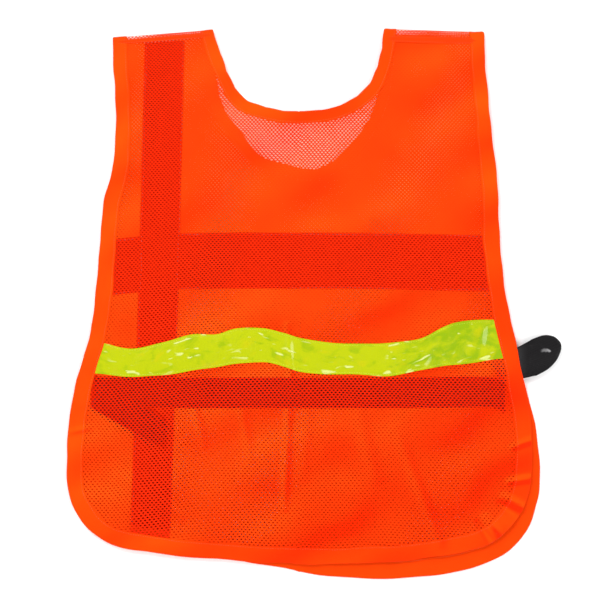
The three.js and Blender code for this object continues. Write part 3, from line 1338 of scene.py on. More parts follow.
@dataclass(frozen=True)
class NetFinish:
    """Fluorescent knitted polyester strands."""

    name: str = "fluorescent_net"
    strand: tuple = (0.80, 0.079, 0.0045)
    deep: tuple = (0.77, 0.065, 0.0035)
    # Painted shade: the strands' colour on fold slopes turned away from the light and towards the lower right
    low: tuple = (0.75, 0.018, 0.0008)
    # Painted shade: back-net strands over a tape, and in part over the black elastic
    shaded: tuple = (0.67, 0.0185, 0.0020)
    # Painted shade: front-net strands that lie on a tape or the black elastic, which no light reaches from below
    backed: tuple = (0.46, 0.004, 0.0003)
    # Painted glow: the strands give off a little orange light of their own, which also brightens them in shade
    glow: tuple = (1.0, 0.03, 0.0)
    glow_strength: float = 0.04
    strand_pitch: float = 0.45 * MM

    def make(self) -> bpy.types.Material:
        """Returns the material: fine knit ribs, small changes of colour at random, painted fold light, painted shade
        where a tape or the black elastic lies behind, a faint painted glow and a soft sheen.
        """
        b = Bench(self.name)
        uv = b.cloth()
        clouds = b.noise(uv, 22.0, 3.0)
        fibres = b.noise(b.stretched(uv, (1.0, 0.35, 1.0)), 900.0, 2.0)
        knit = b.ribs(b.stretched(uv, (1.0, 1.0, 1.0), 0.5), "X", self.strand_pitch)
        shade = clouds.above(0.35, 0.7) * 0.5 + fibres * 0.3
        height = knit * 0.7 + fibres * 0.3
        # Painted shade where a tape or the black elastic lies behind the strands
        behind = b.carried(UNLIT)
        # Painted fold light from the drape
        base = b.blend(b.carried(FOLD_LIGHT_AND_FALL), self.low, b.blend(shade, self.strand, self.deep))
        base = b.blend(behind.above(0.0, 0.5), base, self.shaded)
        return b.finish(
            {
                "Base Color": b.blend(behind.above(0.5, 1.0), base, self.backed),
                "Emission Color": self.glow,
                "Emission Strength": self.glow_strength,
                "Roughness": fibres * 0.2 + 0.5,
                "Normal": b.bump(height, 0.12 * MM),
                "Specular IOR Level": 0.01,
            }
        )


@dataclass(frozen=True)
class TapeFinish:
    """Woven fluorescent binding tape."""

    name: str = "binding_tape"
    face: tuple = (0.76, 0.073, 0.0016)
    worn: tuple = (0.73, 0.062, 0.0012)
    # Painted shade: the tape's colour on fold slopes turned away from the light and towards the lower right
    low: tuple = (0.69, 0.018, 0.0005)
    # Painted glow: the tape gives off a little orange light of their own, which also brightens it in shade
    glow: tuple = (1.0, 0.03, 0.0)
    glow_strength: float = 0.06
    thread_pitch: float = 0.5 * MM

    def make(self) -> bpy.types.Material:
        """Returns the material: plain weave, streaks along the tape, painted fold light, a faint painted glow and
        satin sheen.
        """
        b = Bench(self.name)
        uv = b.cloth()
        streaks = b.noise(b.stretched(uv, (0.12, 1.0, 1.0)), 420.0, 2.0)
        clouds = b.noise(uv, 34.0, 2.0)
        shade = clouds.above(0.3, 0.75) * 0.55 + streaks * 0.25
        height = b.weave(uv, self.thread_pitch) * 0.7 + streaks * 0.3
        return b.finish(
            {
                "Base Color": b.blend(b.carried(FOLD_LIGHT_AND_FALL), self.low, b.blend(shade, self.face, self.worn)),
                "Roughness": streaks * 0.2 + 0.42,
                "Normal": b.bump(height, 0.09 * MM),
                "Emission Color": self.glow,
                "Emission Strength": self.glow_strength,
                "Specular IOR Level": 0.02,
            }
        )


@dataclass(frozen=True)
class FilmFinish:
    """Glossy lime film over fluorescent cloth, moulded in small cells and wrinkled."""

    name: str = "lime_film"
    lime: tuple = (0.395, 0.455, 0.0015)
    green: tuple = (0.235, 0.365, 0.0015)
    yellow: tuple = (0.49, 0.44, 0.0015)
    # Painted glint: the pale colour of light caught on wrinkles
    crazed: tuple = (0.62, 0.68, 0.22)
    cell: float = 3.2 * MM

    def make(self) -> bpy.types.Material:
        """Returns the material: mottled lime under a clear coat with sharp wrinkles, and pale strokes of painted glint
        on some of them.
        """
        b = Bench(self.name)
        uv = b.cloth()
        mottle = b.noise(b.stretched(uv, (1.0, 1.6, 1.0)), 46.0, 3.0, 0.6)
        gold = b.noise(b.stretched(uv, (0.7, 1.0, 1.0), 0.6), 60.0, 2.0, 0.4)
        cells = b.node(
            "ShaderNodeTexVoronoi", {"feature": "DISTANCE_TO_EDGE"}, {"Vector": uv, "Scale": 1 / self.cell}
        )
        welds = Wire(b, cells.outputs["Distance"]).above(0.0, 0.12)
        wrinkle = b.noise(b.stretched(uv, (1.0, 0.55, 1.0), 0.4), 85.0, 4.0, 1.2)
        crush = b.noise(uv, 240.0, 3.0, 0.8)
        apart = b.node("ShaderNodeSeparateXYZ", {}, {"Vector": uv})
        # Towards the right end: greener, and with more painted glint strokes
        shaded = Wire(b, apart.outputs["X"]).above(0.08, 0.2)
        greener = mottle.above(0.5, 0.7) * 0.7 + shaded * mottle.above(0.35, 0.55) * 0.8
        base = b.blend(greener, self.lime, self.green)
        base = b.blend(gold.above(0.56, 0.72) * 0.55, base, self.yellow)
        # Painted glint strokes on some wrinkles, raised a little as well
        patches = (b.noise(uv, 30.0, 1.0) + shaded * 0.08).above(0.44, 0.56)
        stroke = b.noise(b.stretched(uv, (0.42, 1.35, 1.0), -0.35), 120.0, 1.0, 0.5)
        glint_strokes = stroke.above(0.62, 0.68) * patches
        base = b.blend(glint_strokes * 0.8, base, self.crazed)
        height = glint_strokes * 0.25 + wrinkle * 0.3 + crush * 0.05 + welds * 0.04
        return b.finish(
            {
                "Base Color": base,
                "Roughness": crush * 0.12 + 0.16,
                "Normal": b.bump(height, 1.6 * MM),
                "Coat Weight": 1.0,
                "Coat Roughness": 0.06,
                "Coat IOR": 1.45,
                "Specular IOR Level": 0.1,
            }
        )


@dataclass(frozen=True)
class SilverFinish:
    """Glass-bead reflective tape with a grey cloth back."""

    name: str = "silver_tape"
    bead: tuple = (0.34, 0.35, 0.36)
    dull: tuple = (0.26, 0.27, 0.28)
    thread_pitch: float = 0.7 * MM

    def make(self) -> bpy.types.Material:
        """Returns the material: fine beads, light scuffs and a weave that prints through."""
        b = Bench(self.name)
        uv = b.cloth()
        beads = b.noise(uv, 2600.0, 1.0)
        scuffs = b.noise(b.stretched(uv, (0.3, 1.0, 1.0)), 90.0, 4.0)
        weave = b.weave(uv, self.thread_pitch)
        return b.finish(
            {
                "Base Color": b.blend(scuffs.above(0.4, 0.75), self.bead, self.dull),
                "Metallic": 0.25,
                "Roughness": beads * 0.25 + 0.3,
                "Normal": b.bump(beads * 0.5 + weave * 0.5, 0.08 * MM),
            }
        )


@dataclass(frozen=True)
class BackingFinish:
    """The woven back of the reflective tape, which takes the colour of the glue and cloth."""

    name: str = "tape_backing"
    light: tuple = (0.13, 0.006, 0.003)
    dark: tuple = (0.09, 0.004, 0.002)
    thread_pitch: float = 0.6 * MM

    def make(self) -> bpy.types.Material:
        """Returns the material: a tight plain weave with uneven glue behind it."""
        b = Bench(self.name)
        uv = b.cloth()
        weave = b.weave(uv, self.thread_pitch)
        glue = b.noise(uv, 130.0, 3.0)
        return b.finish(
            {
                "Base Color": b.blend(glue.above(0.4, 0.7), self.light, self.dark),
                "Roughness": weave * 0.1 + 0.7,
                "Normal": b.bump(weave, 0.08 * MM),
                "Specular IOR Level": 0.15,
            }
        )


@dataclass(frozen=True)
class ElasticFinish:
    """Black knitted elastic with fine ribs."""

    name: str = "black_elastic"
    rib: tuple = (0.0072, 0.0062, 0.0070)
    gap: tuple = (0.0022, 0.0018, 0.0022)
    # Painted highlight colour on the right loop's crease, also laid lightly near that loop's root
    worn: tuple = (0.26, 0.255, 0.26)
    dusty: tuple = (0.035, 0.034, 0.035)
    rib_pitch: float = 1.1 * MM
    rubber_pitch: float = 1.6 * MM

    def make(self) -> bpy.types.Material:
        """Returns the material: ribs across the strap, rubber threads along it, grey dusting, and a painted highlight
        on the right loop's crease.
        """
        b = Bench(self.name)
        uv = b.cloth()
        knit = b.ribs(uv, "X", self.rib_pitch) * 0.6 + b.ribs(uv, "Y", self.rubber_pitch) * 0.4
        dust = b.noise(uv, 160.0, 4.0)
        base = b.blend(knit, self.gap, self.rib)
        base = b.blend(dust.above(0.55, 0.8) * 0.3, base, self.dusty)
        # Painted highlight where the crease catches the light, and a little lighter near the right loop's root
        base = b.blend(b.carried(GLINT), base, self.worn)
        return b.finish(
            {
                "Base Color": base,
                "Roughness": dust * 0.2 + 0.5,
                "Normal": b.bump(knit, 0.3 * MM),
                "Sheen Weight": 0.06,
                "Sheen Roughness": 0.4,
                "Sheen Tint": (0.6, 0.6, 0.65, 1.0),
                "Specular IOR Level": 0.12,
            }
        )


@dataclass(frozen=True)
class ThreadFinish:
    """Twisted sewing thread in one colour."""

    name: str
    colour: tuple
    shadow: tuple
    ply_pitch: float = 0.35 * MM

    def make(self) -> bpy.types.Material:
        """Returns the material: two plies twisted round each other."""
        b = Bench(self.name)
        uv = b.cloth()
        ply = b.ribs(b.stretched(uv, (1.0, 1.0, 1.0), 0.8), "X", self.ply_pitch)
        fuzz = b.noise(uv, 1500.0, 2.0)
        return b.finish(
            {
                "Base Color": b.blend(ply * 0.7 + fuzz * 0.3, self.shadow, self.colour),
                "Roughness": fuzz * 0.2 + 0.45,
                "Normal": b.bump(ply, 0.1 * MM),
                "Sheen Weight": 0.15,
            }
        )


# ---------------------------------------------------------------------------------------------
# Sub-assemblies
# ---------------------------------------------------------------------------------------------


@dataclass(frozen=True)
class Role:
    """What a piece is to the vest: its slot, the nodes that it stands for, and what carries it.

    A piece with a body rides on that panel. One without bends from the front panel to the back
    panel between two heights.
    """

    slot: str
    nodes: tuple
    body: str | None = None
    bend: tuple = (BLEND_START, BLEND_END)
    sheet: dict = field(default_factory=dict)


def dress(piece: bpy.types.Object, role: Role, *finishes: bpy.types.Material) -> None:
    """Args:
        piece: The piece, with its last shape.
        role: What the piece is to the vest.
        finishes: Its materials, in the order of its faces' material numbers.
    """
    for finish in finishes:
        piece.data.materials.append(finish)
    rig.slot(piece, role.slot)
    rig.replaces(piece, *role.nodes)
    if role.sheet:
        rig.sheet(piece, **role.sheet)
    if role.body:
        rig.ride(piece, role.body)
    else:
        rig.blend(piece, FRONT, BACK, start=(0, 0, role.bend[0]), end=(0, 0, role.bend[1]))
    log.info("%s: %d faces", piece.name, len(piece.data.polygons))


@dataclass(frozen=True)
class PanelPlan:
    """How one panel is knitted, and how much painted shade it takes over the tapes and the belt."""

    panel: Panel
    name: str
    hole: float
    turn: float
    warp: float
    low: tuple
    high: tuple
    lift: float
    on_tape: float
    on_belt: float
    role: Role


@dataclass
class Panels:
    """The two net panels, joined over the shoulders."""

    drape: Drape
    finish: bpy.types.Material
    edge_in: float = 4.0 * MM
    overlap: float = 2.0 * MM
    chest_half: float = 35 * MM
    belt_half: float = 19 * MM
    strap_half: float = 22 * MM
    upright_half: float = 25 * MM
    blur: float = 1 * MM
    plans: tuple = (
        PanelPlan(
            Panel.FRONT, "front_net", hole=0.31, turn=0.25, warp=1.3 * MM, low=(-0.31, -0.03),
            high=(0.31, 0.70), lift=-0.08 * MM, on_tape=1.0, on_belt=1.0,
            role=Role(
                "net_cloth",
                ("front_panel_mesh", "left_shoulder_fold", "right_shoulder_fold"),
                sheet={"flat": (0.587, 0.705), "held": "laid", "rests_on": ["chest_tape"]},
            ),
        ),
        PanelPlan(
            Panel.BACK, "back_net", hole=0.51, turn=-0.2, warp=0.5 * MM, low=(-0.31, -0.69),
            high=(0.31, 0.0), lift=0.08 * MM, on_tape=0.5, on_belt=0.70,
            role=Role(
                "net_cloth",
                ("back_panel_mesh",),
                BACK,
                sheet={"flat": (0.579, 0.690), "held": "laid", "rests_on": ["front_net"]},
            ),
        ),
    )

    def depth(self, places: np.ndarray) -> np.ndarray:
        """Returns how far places lie inside the cut edges of the vest."""
        return np.minimum(self.drape.edge.locate(places)[0], self.drape.neck.locate(places)[0])

    def seam_reach(self, across: np.ndarray) -> np.ndarray:
        """Finds the shoulder seams, which lie on the back.

        Args:
            across: Distances from the centreline.

        Returns:
            The reach of the seam on that side.
        """
        found = []
        for points in (self.drape.cut.left_seam, self.drape.cut.right_seam):
            line = self.drape.laid(Panel.BACK, spline(points))
            found.append(np.interp(across, line[:, 0], line[:, 1]))
        return np.where(across < 0, *found)

    def belongs(self, panel: Panel, places: np.ndarray) -> np.ndarray:
        """Tells which holes of a net lie on its panel.

        Args:
            panel: The panel.
            places: Middles of the holes in the pattern plane, n by 2.

        Returns:
            True for each hole inside the cut edges and up to just past the shoulder seams.
        """
        beyond = panel.value * (places[:, 1] - self.seam_reach(places[:, 0])) > -self.overlap
        return beyond & (self.depth(places) > self.edge_in)

    def darken(self, piece: bpy.types.Object, on_tape: float, on_belt: float) -> None:
        """Marks the strands that lie on a tape or the black elastic, or over one, with painted shade where no light
        comes through.

        Args:
            piece: The net.
            on_tape: How much painted shade a tape puts on its strands, 0.5 for shaded and 1 for unlit.
            on_belt: The same for the black elastic.
        """
        x, y, _ = corners_of(piece).T
        across = x - self.drape.centre
        down = self.drape.shoulder - y
        cut = self.drape.cut
        line = spline(cut.vertical_band)
        far = np.abs(across - np.interp(down, line[:, 1], line[:, 0]))
        inside = down > line[0, 1]
        dark = on_tape * inside * self.within(far, self.upright_half)
        for points, half, strength in (
            (cut.chest_band, self.chest_half, on_tape),
            (cut.belt, self.belt_half, on_belt),
            (cut.left_strap, self.strap_half, on_belt),
        ):
            line = spline(points)
            far = np.abs(down - np.interp(across, line[:, 0], line[:, 1]))
            inside = (across > line[0, 0]) & (across < line[-1, 0])
            dark = np.maximum(dark, strength * inside * self.within(far, half))
        mark(piece, UNLIT, dark)

    def within(self, far: np.ndarray, half: float) -> np.ndarray:
        """Returns a mask of what is nearer than half a band's width, with a soft edge."""
        return 1 - smoothstep(far, half - self.blur, half + self.blur)

    def build(self) -> None:
        for plan in self.plans:
            net = Net(self.drape, hole=plan.hole, turn=math.radians(plan.turn), warp=plan.warp)
            piece, area = net.build(
                plan.name, lambda p: self.belongs(plan.panel, p), plan.low, plan.high, plan.lift
            )
            self.darken(piece, plan.on_tape, plan.on_belt)
            self.drape.tint(piece)
            sheet = {**plan.role.sheet, "area": area}
            dress(piece, replace(plan.role, sheet=sheet), self.finish)


@dataclass
class Bindings:
    """The folded tape round the outside edge and round the neck, with its stitches."""

    drape: Drape
    tape: bpy.types.Material
    thread: bpy.types.Material
    edge_width: float = 20 * MM
    neck_width: float = 15 * MM
    neck_scallop: float = 1.1 * MM
    neck_scallop_length: float = 23 * MM
    stitch_lift: float = 0.62 * MM

    def build(self) -> None:
        """Folds both bindings and sews them."""
        neck = Binding(
            self.drape, self.drape.neck, self.neck_width, slim=0.0, broad=0.0,
            scallop=self.neck_scallop, scallop_length=self.neck_scallop_length,
        )
        for place, binding in (
            ("edge", Binding(self.drape, self.drape.edge, self.edge_width)),
            ("neck", neck),
        ):
            name = f"{place}_binding"
            piece = binding.build(name)
            self.drape.tint(piece)
            sheet = {
                "flat": (2 * binding.width, binding.path.length),
                "held": "folded",
                "rests_on": ["front_net", "back_net"],
            }
            dress(piece, Role("binding", (f"front_{name}", f"back_{name}"), sheet=sheet), self.tape)
            lane = binding.lane()
            row = StitchRow(self.drape).build(
                f"{name}_stitches", [(lane, self.stitch_lift), (lane, -self.stitch_lift)]
            )
            nodes = (f"front_{name}_stitch", f"back_{name}_stitch")
            dress(row, Role("orange_thread", nodes), self.thread)


@dataclass
class LimeStrip:
    """The glossy lime strip across the back."""

    drape: Drape
    film: bpy.types.Material
    thread: bpy.types.Material
    left_end: float = -0.262
    right_end: float = 0.2561
    width: float = 44 * MM
    length: float = 0.521
    step: float = 2.0 * MM
    points: int = 25
    thickness: float = 0.4 * MM
    puff: float = 0.9 * MM
    stand: float = 0.28 * MM
    tuck: float = 0.238
    tucked_stand: float = 0.1 * MM
    tucked_thickness: float = 0.18 * MM
    stitch_lift: float = 0.86 * MM
    stitch_share: float = 0.055

    def edges(self, marks: np.ndarray) -> list:
        """Finds the strip's two wandering edges.

        Args:
            marks: Distances from the centreline.

        Returns:
            The top edge and the bottom edge in the pattern plane, each n by 2.
        """
        found = []
        for points in (self.drape.cut.strip_top, self.drape.cut.strip_bottom):
            line = spline(points)
            down = np.interp(marks, line[:, 0], line[:, 1])
            found.append(self.drape.laid(Panel.BACK, np.stack([marks, down], 1)))
        return found

    def faces(self, marks: np.ndarray, share: np.ndarray) -> tuple:
        """Works out how the film stands: puffed between its stitches and flat under the bindings.

        Args:
            marks: Distances from the centreline, n by 1.
            share: How far across the strip each point lies, 1 by m, from 0 to 1.

        Returns:
            The heights of the lower and the upper face over the cloth, n by m.
        """
        tucked = smoothstep(np.abs(marks), self.tuck - 12 * MM, self.tuck)
        welt = np.exp(-(((share - 0.5) / 0.5) ** 8) * 2.2)
        puff = self.puff * np.clip(1 - np.abs(2 * share - 1) ** 4, 0, 1) * welt
        puff = puff * (0.75 + 0.5 * np.sin(marks * 210 + 5 * share) * np.sin(marks * 71))
        low = (self.stand + puff * 0.4) * (1 - tucked) + self.tucked_stand * tucked
        thick = (self.thickness + puff * 0.6) * (1 - tucked) + self.tucked_thickness * tucked
        return low, low + thick

    def build(self) -> None:
        """Makes the strip between its two edges and sews both of them."""
        marks = np.arange(self.left_end, self.right_end, self.step)
        top, bottom = self.edges(marks)
        share = np.linspace(0, 1, self.points)
        face = top[:, None, :] * (1 - share[:, None]) + bottom[:, None, :] * share[:, None]
        low, high = self.faces(marks[:, None], share[None, :])
        spots = np.concatenate([face, face[:, ::-1]], axis=1)
        lifts = np.concatenate([low, high[:, ::-1]], axis=1)
        rings = self.drape.place(spots.reshape(-1, 2), lifts.reshape(-1)).reshape(len(marks), -1, 3)
        piece = add_shell("lime_strip_film", rings, marks, both_faces(self.width, self.points))
        sheet = {"flat": (self.width, self.length), "held": "laid", "rests_on": ["back_net"]}
        dress(piece, Role("lime_strip", ("lime_strip",), BACK, sheet=sheet), self.film)
        inside = np.abs(marks) < self.tuck
        for letter, near in (("a", self.stitch_share), ("b", 1 - self.stitch_share)):
            line = (top * (1 - near) + bottom * near)[inside]
            row = StitchRow(self.drape).build(
                f"lime_strip_stitches_{letter}", [(Path(evenly(line, self.step)), self.stitch_lift)]
            )
            dress(row, Role("lime_thread", (f"lime_strip_stitch_{letter}",), BACK), self.thread)


@dataclass
class ShoulderSeams:
    """The two seams that close the shoulders, a little behind the fold."""

    drape: Drape
    cloth: bpy.types.Material
    thread: bpy.types.Material
    left_width: float = 5.5 * MM
    right_width: float = 8.5 * MM
    thickness: float = 0.45 * MM
    crown: float = 0.25 * MM
    stand: float = 0.15 * MM
    stitch_lift: float = 0.72 * MM
    stitch_share: float = 0.33
    shade: float = 0.2
    # The seam bands take an even, neutral painted fold light
    tone: float = 0.5

    def build(self) -> None:
        """Makes both seam bands and the stitches along them."""
        for side, ends, width in (
            ("left", self.drape.cut.left_seam_band, self.left_width),
            ("right", self.drape.cut.right_seam_band, self.right_width),
        ):
            name = f"{side}_shoulder_seam"
            path = self.drape.on(Panel.BACK, ends, 2 * MM)
            offsets, lifts = flat_ring(width, self.thickness, 7, self.crown)
            piece = Band(self.drape, path).build(f"{name}_band", offsets, lifts + self.stand)
            # The seam bands take a little of the painted shade that the nets take over the tapes
            mark(piece, UNLIT, self.shade)
            mark(piece, FOLD_LIGHT_AND_FALL, self.tone)
            sheet = {"flat": (2 * width, path.length), "held": "folded", "area": path.length * width}
            dress(piece, Role("binding", (name,), BACK, sheet=sheet), self.cloth)
            beside = self.stitch_share * width
            rows = [(path.beside(x, 2 * MM), self.stitch_lift) for x in (-beside, beside)]
            row = StitchRow(self.drape).build(f"{name}_stitches", rows)
            dress(row, Role("orange_thread", (f"{name}_stitch",), BACK), self.thread)


@dataclass
class FrontTapes:
    """The two reflective tapes on the front, which lies face down."""

    drape: Drape
    silver: bpy.types.Material
    backing: bpy.types.Material
    thread: bpy.types.Material
    chest_width: float = 70 * MM
    vertical_width: float = 50 * MM
    chest_lift: float = 0.3 * MM
    vertical_lift: float = 0.68 * MM
    thickness: float = 0.28 * MM
    stitch_in: float = 1.8 * MM
    upturned: float = 0.3

    def build(self) -> None:
        """Makes the chest tape, then the vertical tape that crosses over it."""
        cut = self.drape.cut
        for name, points, width, lift in (
            ("chest_tape", cut.chest_tape, self.chest_width, self.chest_lift),
            ("vertical_tape", cut.vertical_tape, self.vertical_width, self.vertical_lift),
        ):
            path = self.drape.on(Panel.FRONT, points, 4 * MM)
            offsets, lifts = flat_ring(width, self.thickness, 15)
            piece = Band(self.drape, path).build(f"{name}_face", offsets, lifts + lift)
            sheet = {"flat": (width, path.length), "held": "laid", "rests_on": ["front_net"]}
            for face in piece.data.polygons:
                face.material_index = int(face.normal.z > self.upturned)
            role = Role("silver_tape", (name,), FRONT, sheet=sheet)
            dress(piece, role, self.silver, self.backing)
            for letter, side in (("a", -1), ("b", 1)):
                lane = path.beside(side * (width / 2 - self.stitch_in), 2 * MM)
                row = StitchRow(self.drape).build(
                    f"{name}_stitches_{letter}", [(lane, lift + 0.32 * MM), (lane, -0.25 * MM)]
                )
                dress(row, Role("grey_thread", (f"{name}_stitch_{letter}",), FRONT), self.thread)


def both_faces(width: float, points: int) -> np.ndarray:
    """Returns where the points round a strap's section lie on its cloth, its two faces apart."""
    line = np.linspace(0, width, points)
    return np.concatenate([line, 0.1 + line[::-1]])


@dataclass(frozen=True)
class Loop:
    """How one side loop lies: where it is sewn in, where it turns over, and its heights.

    The strap leaves the front at its root, turns over at its tip and comes back to the back.
    """

    side: str
    root: tuple
    tip: tuple
    tack: tuple
    tack_height: float
    swell: float
    lower: float
    upper_root: float
    upper_tip: float


@dataclass
class Elastic:
    """The black waist elastic: a belt inside the vest and a loop at each side."""

    drape: Drape
    elastic: bpy.types.Material
    thread: bpy.types.Material
    belt_height: float = 3.5 * MM
    belt_width: float = 38 * MM
    belt_length: float = 0.512
    thickness: float = 0.8 * MM
    points: int = 49
    run_steps: int = 56
    turn_steps: int = 25
    turn_share: float = 0.055
    crease_middle: tuple = (306.8, 404.3)
    crease_half: float = 7.2
    crease_arc: float = 3.6
    crease_height: float = 0.7 * MM
    blend_in: float = 0.45 * MM
    front_tack_height: float = 3.05 * MM
    tack_stitches: int = 22
    tack_lean: float = 0.35

    def at(self, across: np.ndarray, down: np.ndarray, height: np.ndarray) -> np.ndarray:
        """Returns points at a place on the laid vest and a height over the floor."""
        across, down, height = np.broadcast_arrays(across, down, height)
        return np.stack([self.drape.centre + across, self.drape.shoulder - down, height], axis=-1)

    def belt(self) -> None:
        """Lays the belt straight across, between the panels."""
        across, middle = evenly(spline(self.drape.cut.belt), 4 * MM).T
        offsets, lifts = flat_ring(self.belt_width, self.thickness, 9)
        down = middle[:, None] + offsets[None, :] + 0.8 * MM * np.sin(across[:, None] * 40)
        rings = self.at(across[:, None], down, self.belt_height + lifts[None, :])
        piece = add_shell("elastic_belt_strap", rings, across, offsets)
        sheet = {
            "flat": (self.belt_width, self.belt_length),
            "held": "stretched",
            "rests_on": ["front_net"],
        }
        dress(piece, Role("elastic", ("elastic_belt",), FRONT, sheet=sheet), self.elastic)

    def crease(self, spots: np.ndarray) -> np.ndarray:
        """Finds the small crease near the right loop's turn, which stands up and is painted with a highlight, and the
        cloth at its root, which is made a little lighter.

        Args:
            spots: Places on the strap, n by 2.

        Returns:
            How strongly each place is raised and lightened, from 0 to 1.
        """
        across, down = (spots / MM).T
        along = (across - self.crease_middle[0]) / self.crease_half
        down = down - self.crease_middle[1]
        arc = self.crease_arc * np.clip(1 - along**2, 0, 1)
        inside = smoothstep(arc + down, -0.4, 0.5) * smoothstep(-down, -0.5, 0.3)
        fade = 0.5 + 0.5 * smoothstep(along, -0.2, 0.7)
        # A little lighter near the right loop's root
        near_root = 0.11 * (1 - smoothstep(across, 262.0, 286.0)) * (across > 0)
        return np.maximum(inside * (np.abs(along) < 1) * fade, near_root)

    def courses(self, loop: Loop) -> tuple:
        """Lays out the middle of the strap, one course across it after another.

        Args:
            loop: How the loop lies.

        Returns:
            Places over the floor, courses by points by 3, and how strongly each is raised and lightened.
        """
        ends = spline(loop.tip)
        gone = run_along(ends)
        marks = np.linspace(0, gone[-1], self.points)
        ends = np.stack([np.interp(marks, gone, ends[:, k]) for k in (0, 1)], axis=1)
        share = np.linspace(0, 1, self.points)[:, None]
        roots = np.array(loop.root, float) * MM
        roots = roots[0] * (1 - share) + roots[1] * share
        steps = self.run_steps
        out = np.linspace(0, 1, steps + 1)
        angles = np.concatenate(
            [np.zeros(steps), np.linspace(0, math.pi, self.turn_steps), np.full(steps, math.pi)]
        )
        runs = np.concatenate([out[:-1], np.ones(self.turn_steps), np.linspace(1, 0, steps + 1)[1:]])
        places = []
        worn = []
        for angle, run in zip(angles, runs):
            reach = run * (1 - self.turn_share)
            if run == 1:
                reach = 1 - (1 - math.sin(angle)) * self.turn_share
            over = angle / math.pi
            spot = roots * (1 - reach) + ends * reach
            risen = float(smoothstep(np.array(run), 0.1, 0.7))
            upper = loop.upper_root + (loop.upper_tip - loop.upper_root) * risen
            height = loop.lower + (upper - loop.lower) * (1 - math.cos(angle)) / 2
            height = height + loop.swell * math.sin(angle) * 0.35
            height = height + loop.swell * smoothstep(np.array(run), 0.35, 1.0) * over
            arch = 0.35 * loop.swell * np.sin(np.pi * share[:, 0]) * over
            crease = self.crease(spot) * over
            lifted = height + arch + self.crease_height * crease
            places.append(self.at(spot[:, 0], spot[:, 1], lifted))
            worn.append(crease)
        return np.array(places), np.array(worn)

    def loop(self, loop: Loop) -> None:
        """Makes one side loop, out from the front, round its tip and back to the back.

        Args:
            loop: How the loop lies.
        """
        middle, worn = self.courses(loop)
        normal = np.cross(np.gradient(middle, axis=0), np.gradient(middle, axis=1))
        normal = normal / np.maximum(np.linalg.norm(normal, axis=2), 1e-9)[:, :, None]
        half = normal * self.thickness / 2
        rings = np.concatenate([middle - half, (middle + half)[:, ::-1]], axis=1)
        gone = run_along(middle[:, self.points // 2])
        around = both_faces(self.belt_width, self.points)
        piece = add_shell(f"{loop.side}_elastic_strap", rings, gone, around)
        # Painted highlight on the crease, and the lighter root
        mark(piece, GLINT, np.concatenate([worn, worn[:, ::-1]], 1))
        role = Role(
            "elastic",
            (f"{loop.side}_elastic_loop",),
            bend=(loop.lower + self.blend_in, loop.upper_root - self.blend_in),
            sheet={
                "flat": (self.belt_width, float(gone[-1])),
                "held": "folded",
                "rests_on": ["front_net"],
            },
        )
        dress(piece, role, self.elastic)

    def tacks(self, loop: Loop) -> None:
        """Sews a loop's two ends down with dense bars of thread.

        Args:
            loop: How the loop lies.
        """
        start, end = np.array(loop.tack, float) * MM
        heading = (end - start) / np.linalg.norm(end - start)
        cross = np.array([-heading[1], heading[0]])
        for panel, body, height in (
            ("front", FRONT, self.front_tack_height),
            ("back", BACK, loop.tack_height),
        ):
            stitch, faces = StitchRow(self.drape, length=5 * MM, thread=0.5 * MM).one_stitch()
            points = []
            made = []
            wraps = []
            for i in range(self.tack_stitches):
                spot = start + (end - start) * (i + 0.5) / self.tack_stitches
                lean = self.tack_lean if i % 2 else -self.tack_lean
                x_way = cross * math.cos(lean) + heading * math.sin(lean)
                y_way = -cross * math.sin(lean) + heading * math.cos(lean)
                plan = spot + stitch[:, :1] * x_way + stitch[:, 1:2] * y_way
                points.append(self.at(plan[:, 0], plan[:, 1], height + stitch[:, 2]))
                for f in faces:
                    made.append(tuple(i * len(stitch) + k for k in f))
                    wraps.extend((stitch[k, 0], stitch[k, 1]) for k in f)
            name = f"{loop.side}_loop_{panel}"
            piece = add_mesh(f"{name}_bar", np.vstack(points), made, np.array(wraps), 180.0)
            dress(piece, Role("black_thread", (f"{name}_tack",), body), self.thread)

    def build(self) -> None:
        """Makes the belt, both loops and their tacks."""
        cut = self.drape.cut
        right = Loop(
            "right", cut.right_loop_root, cut.right_loop_tip, cut.right_tack, tack_height=7.6 * MM,
            swell=2.2 * MM, lower=4.0 * MM, upper_root=5.4 * MM, upper_tip=7.0 * MM,
        )
        left = Loop(
            "left", cut.left_loop_root, cut.left_loop_tip, cut.left_tack, tack_height=5.8 * MM,
            swell=0.15 * MM, lower=3.8 * MM, upper_root=5.3 * MM, upper_tip=5.3 * MM,
        )
        self.belt()
        for loop in (right, left):
            self.loop(loop)
        for loop in (right, left):
            self.tacks(loop)


# ---------------------------------------------------------------------------------------------
# Studio
# ---------------------------------------------------------------------------------------------


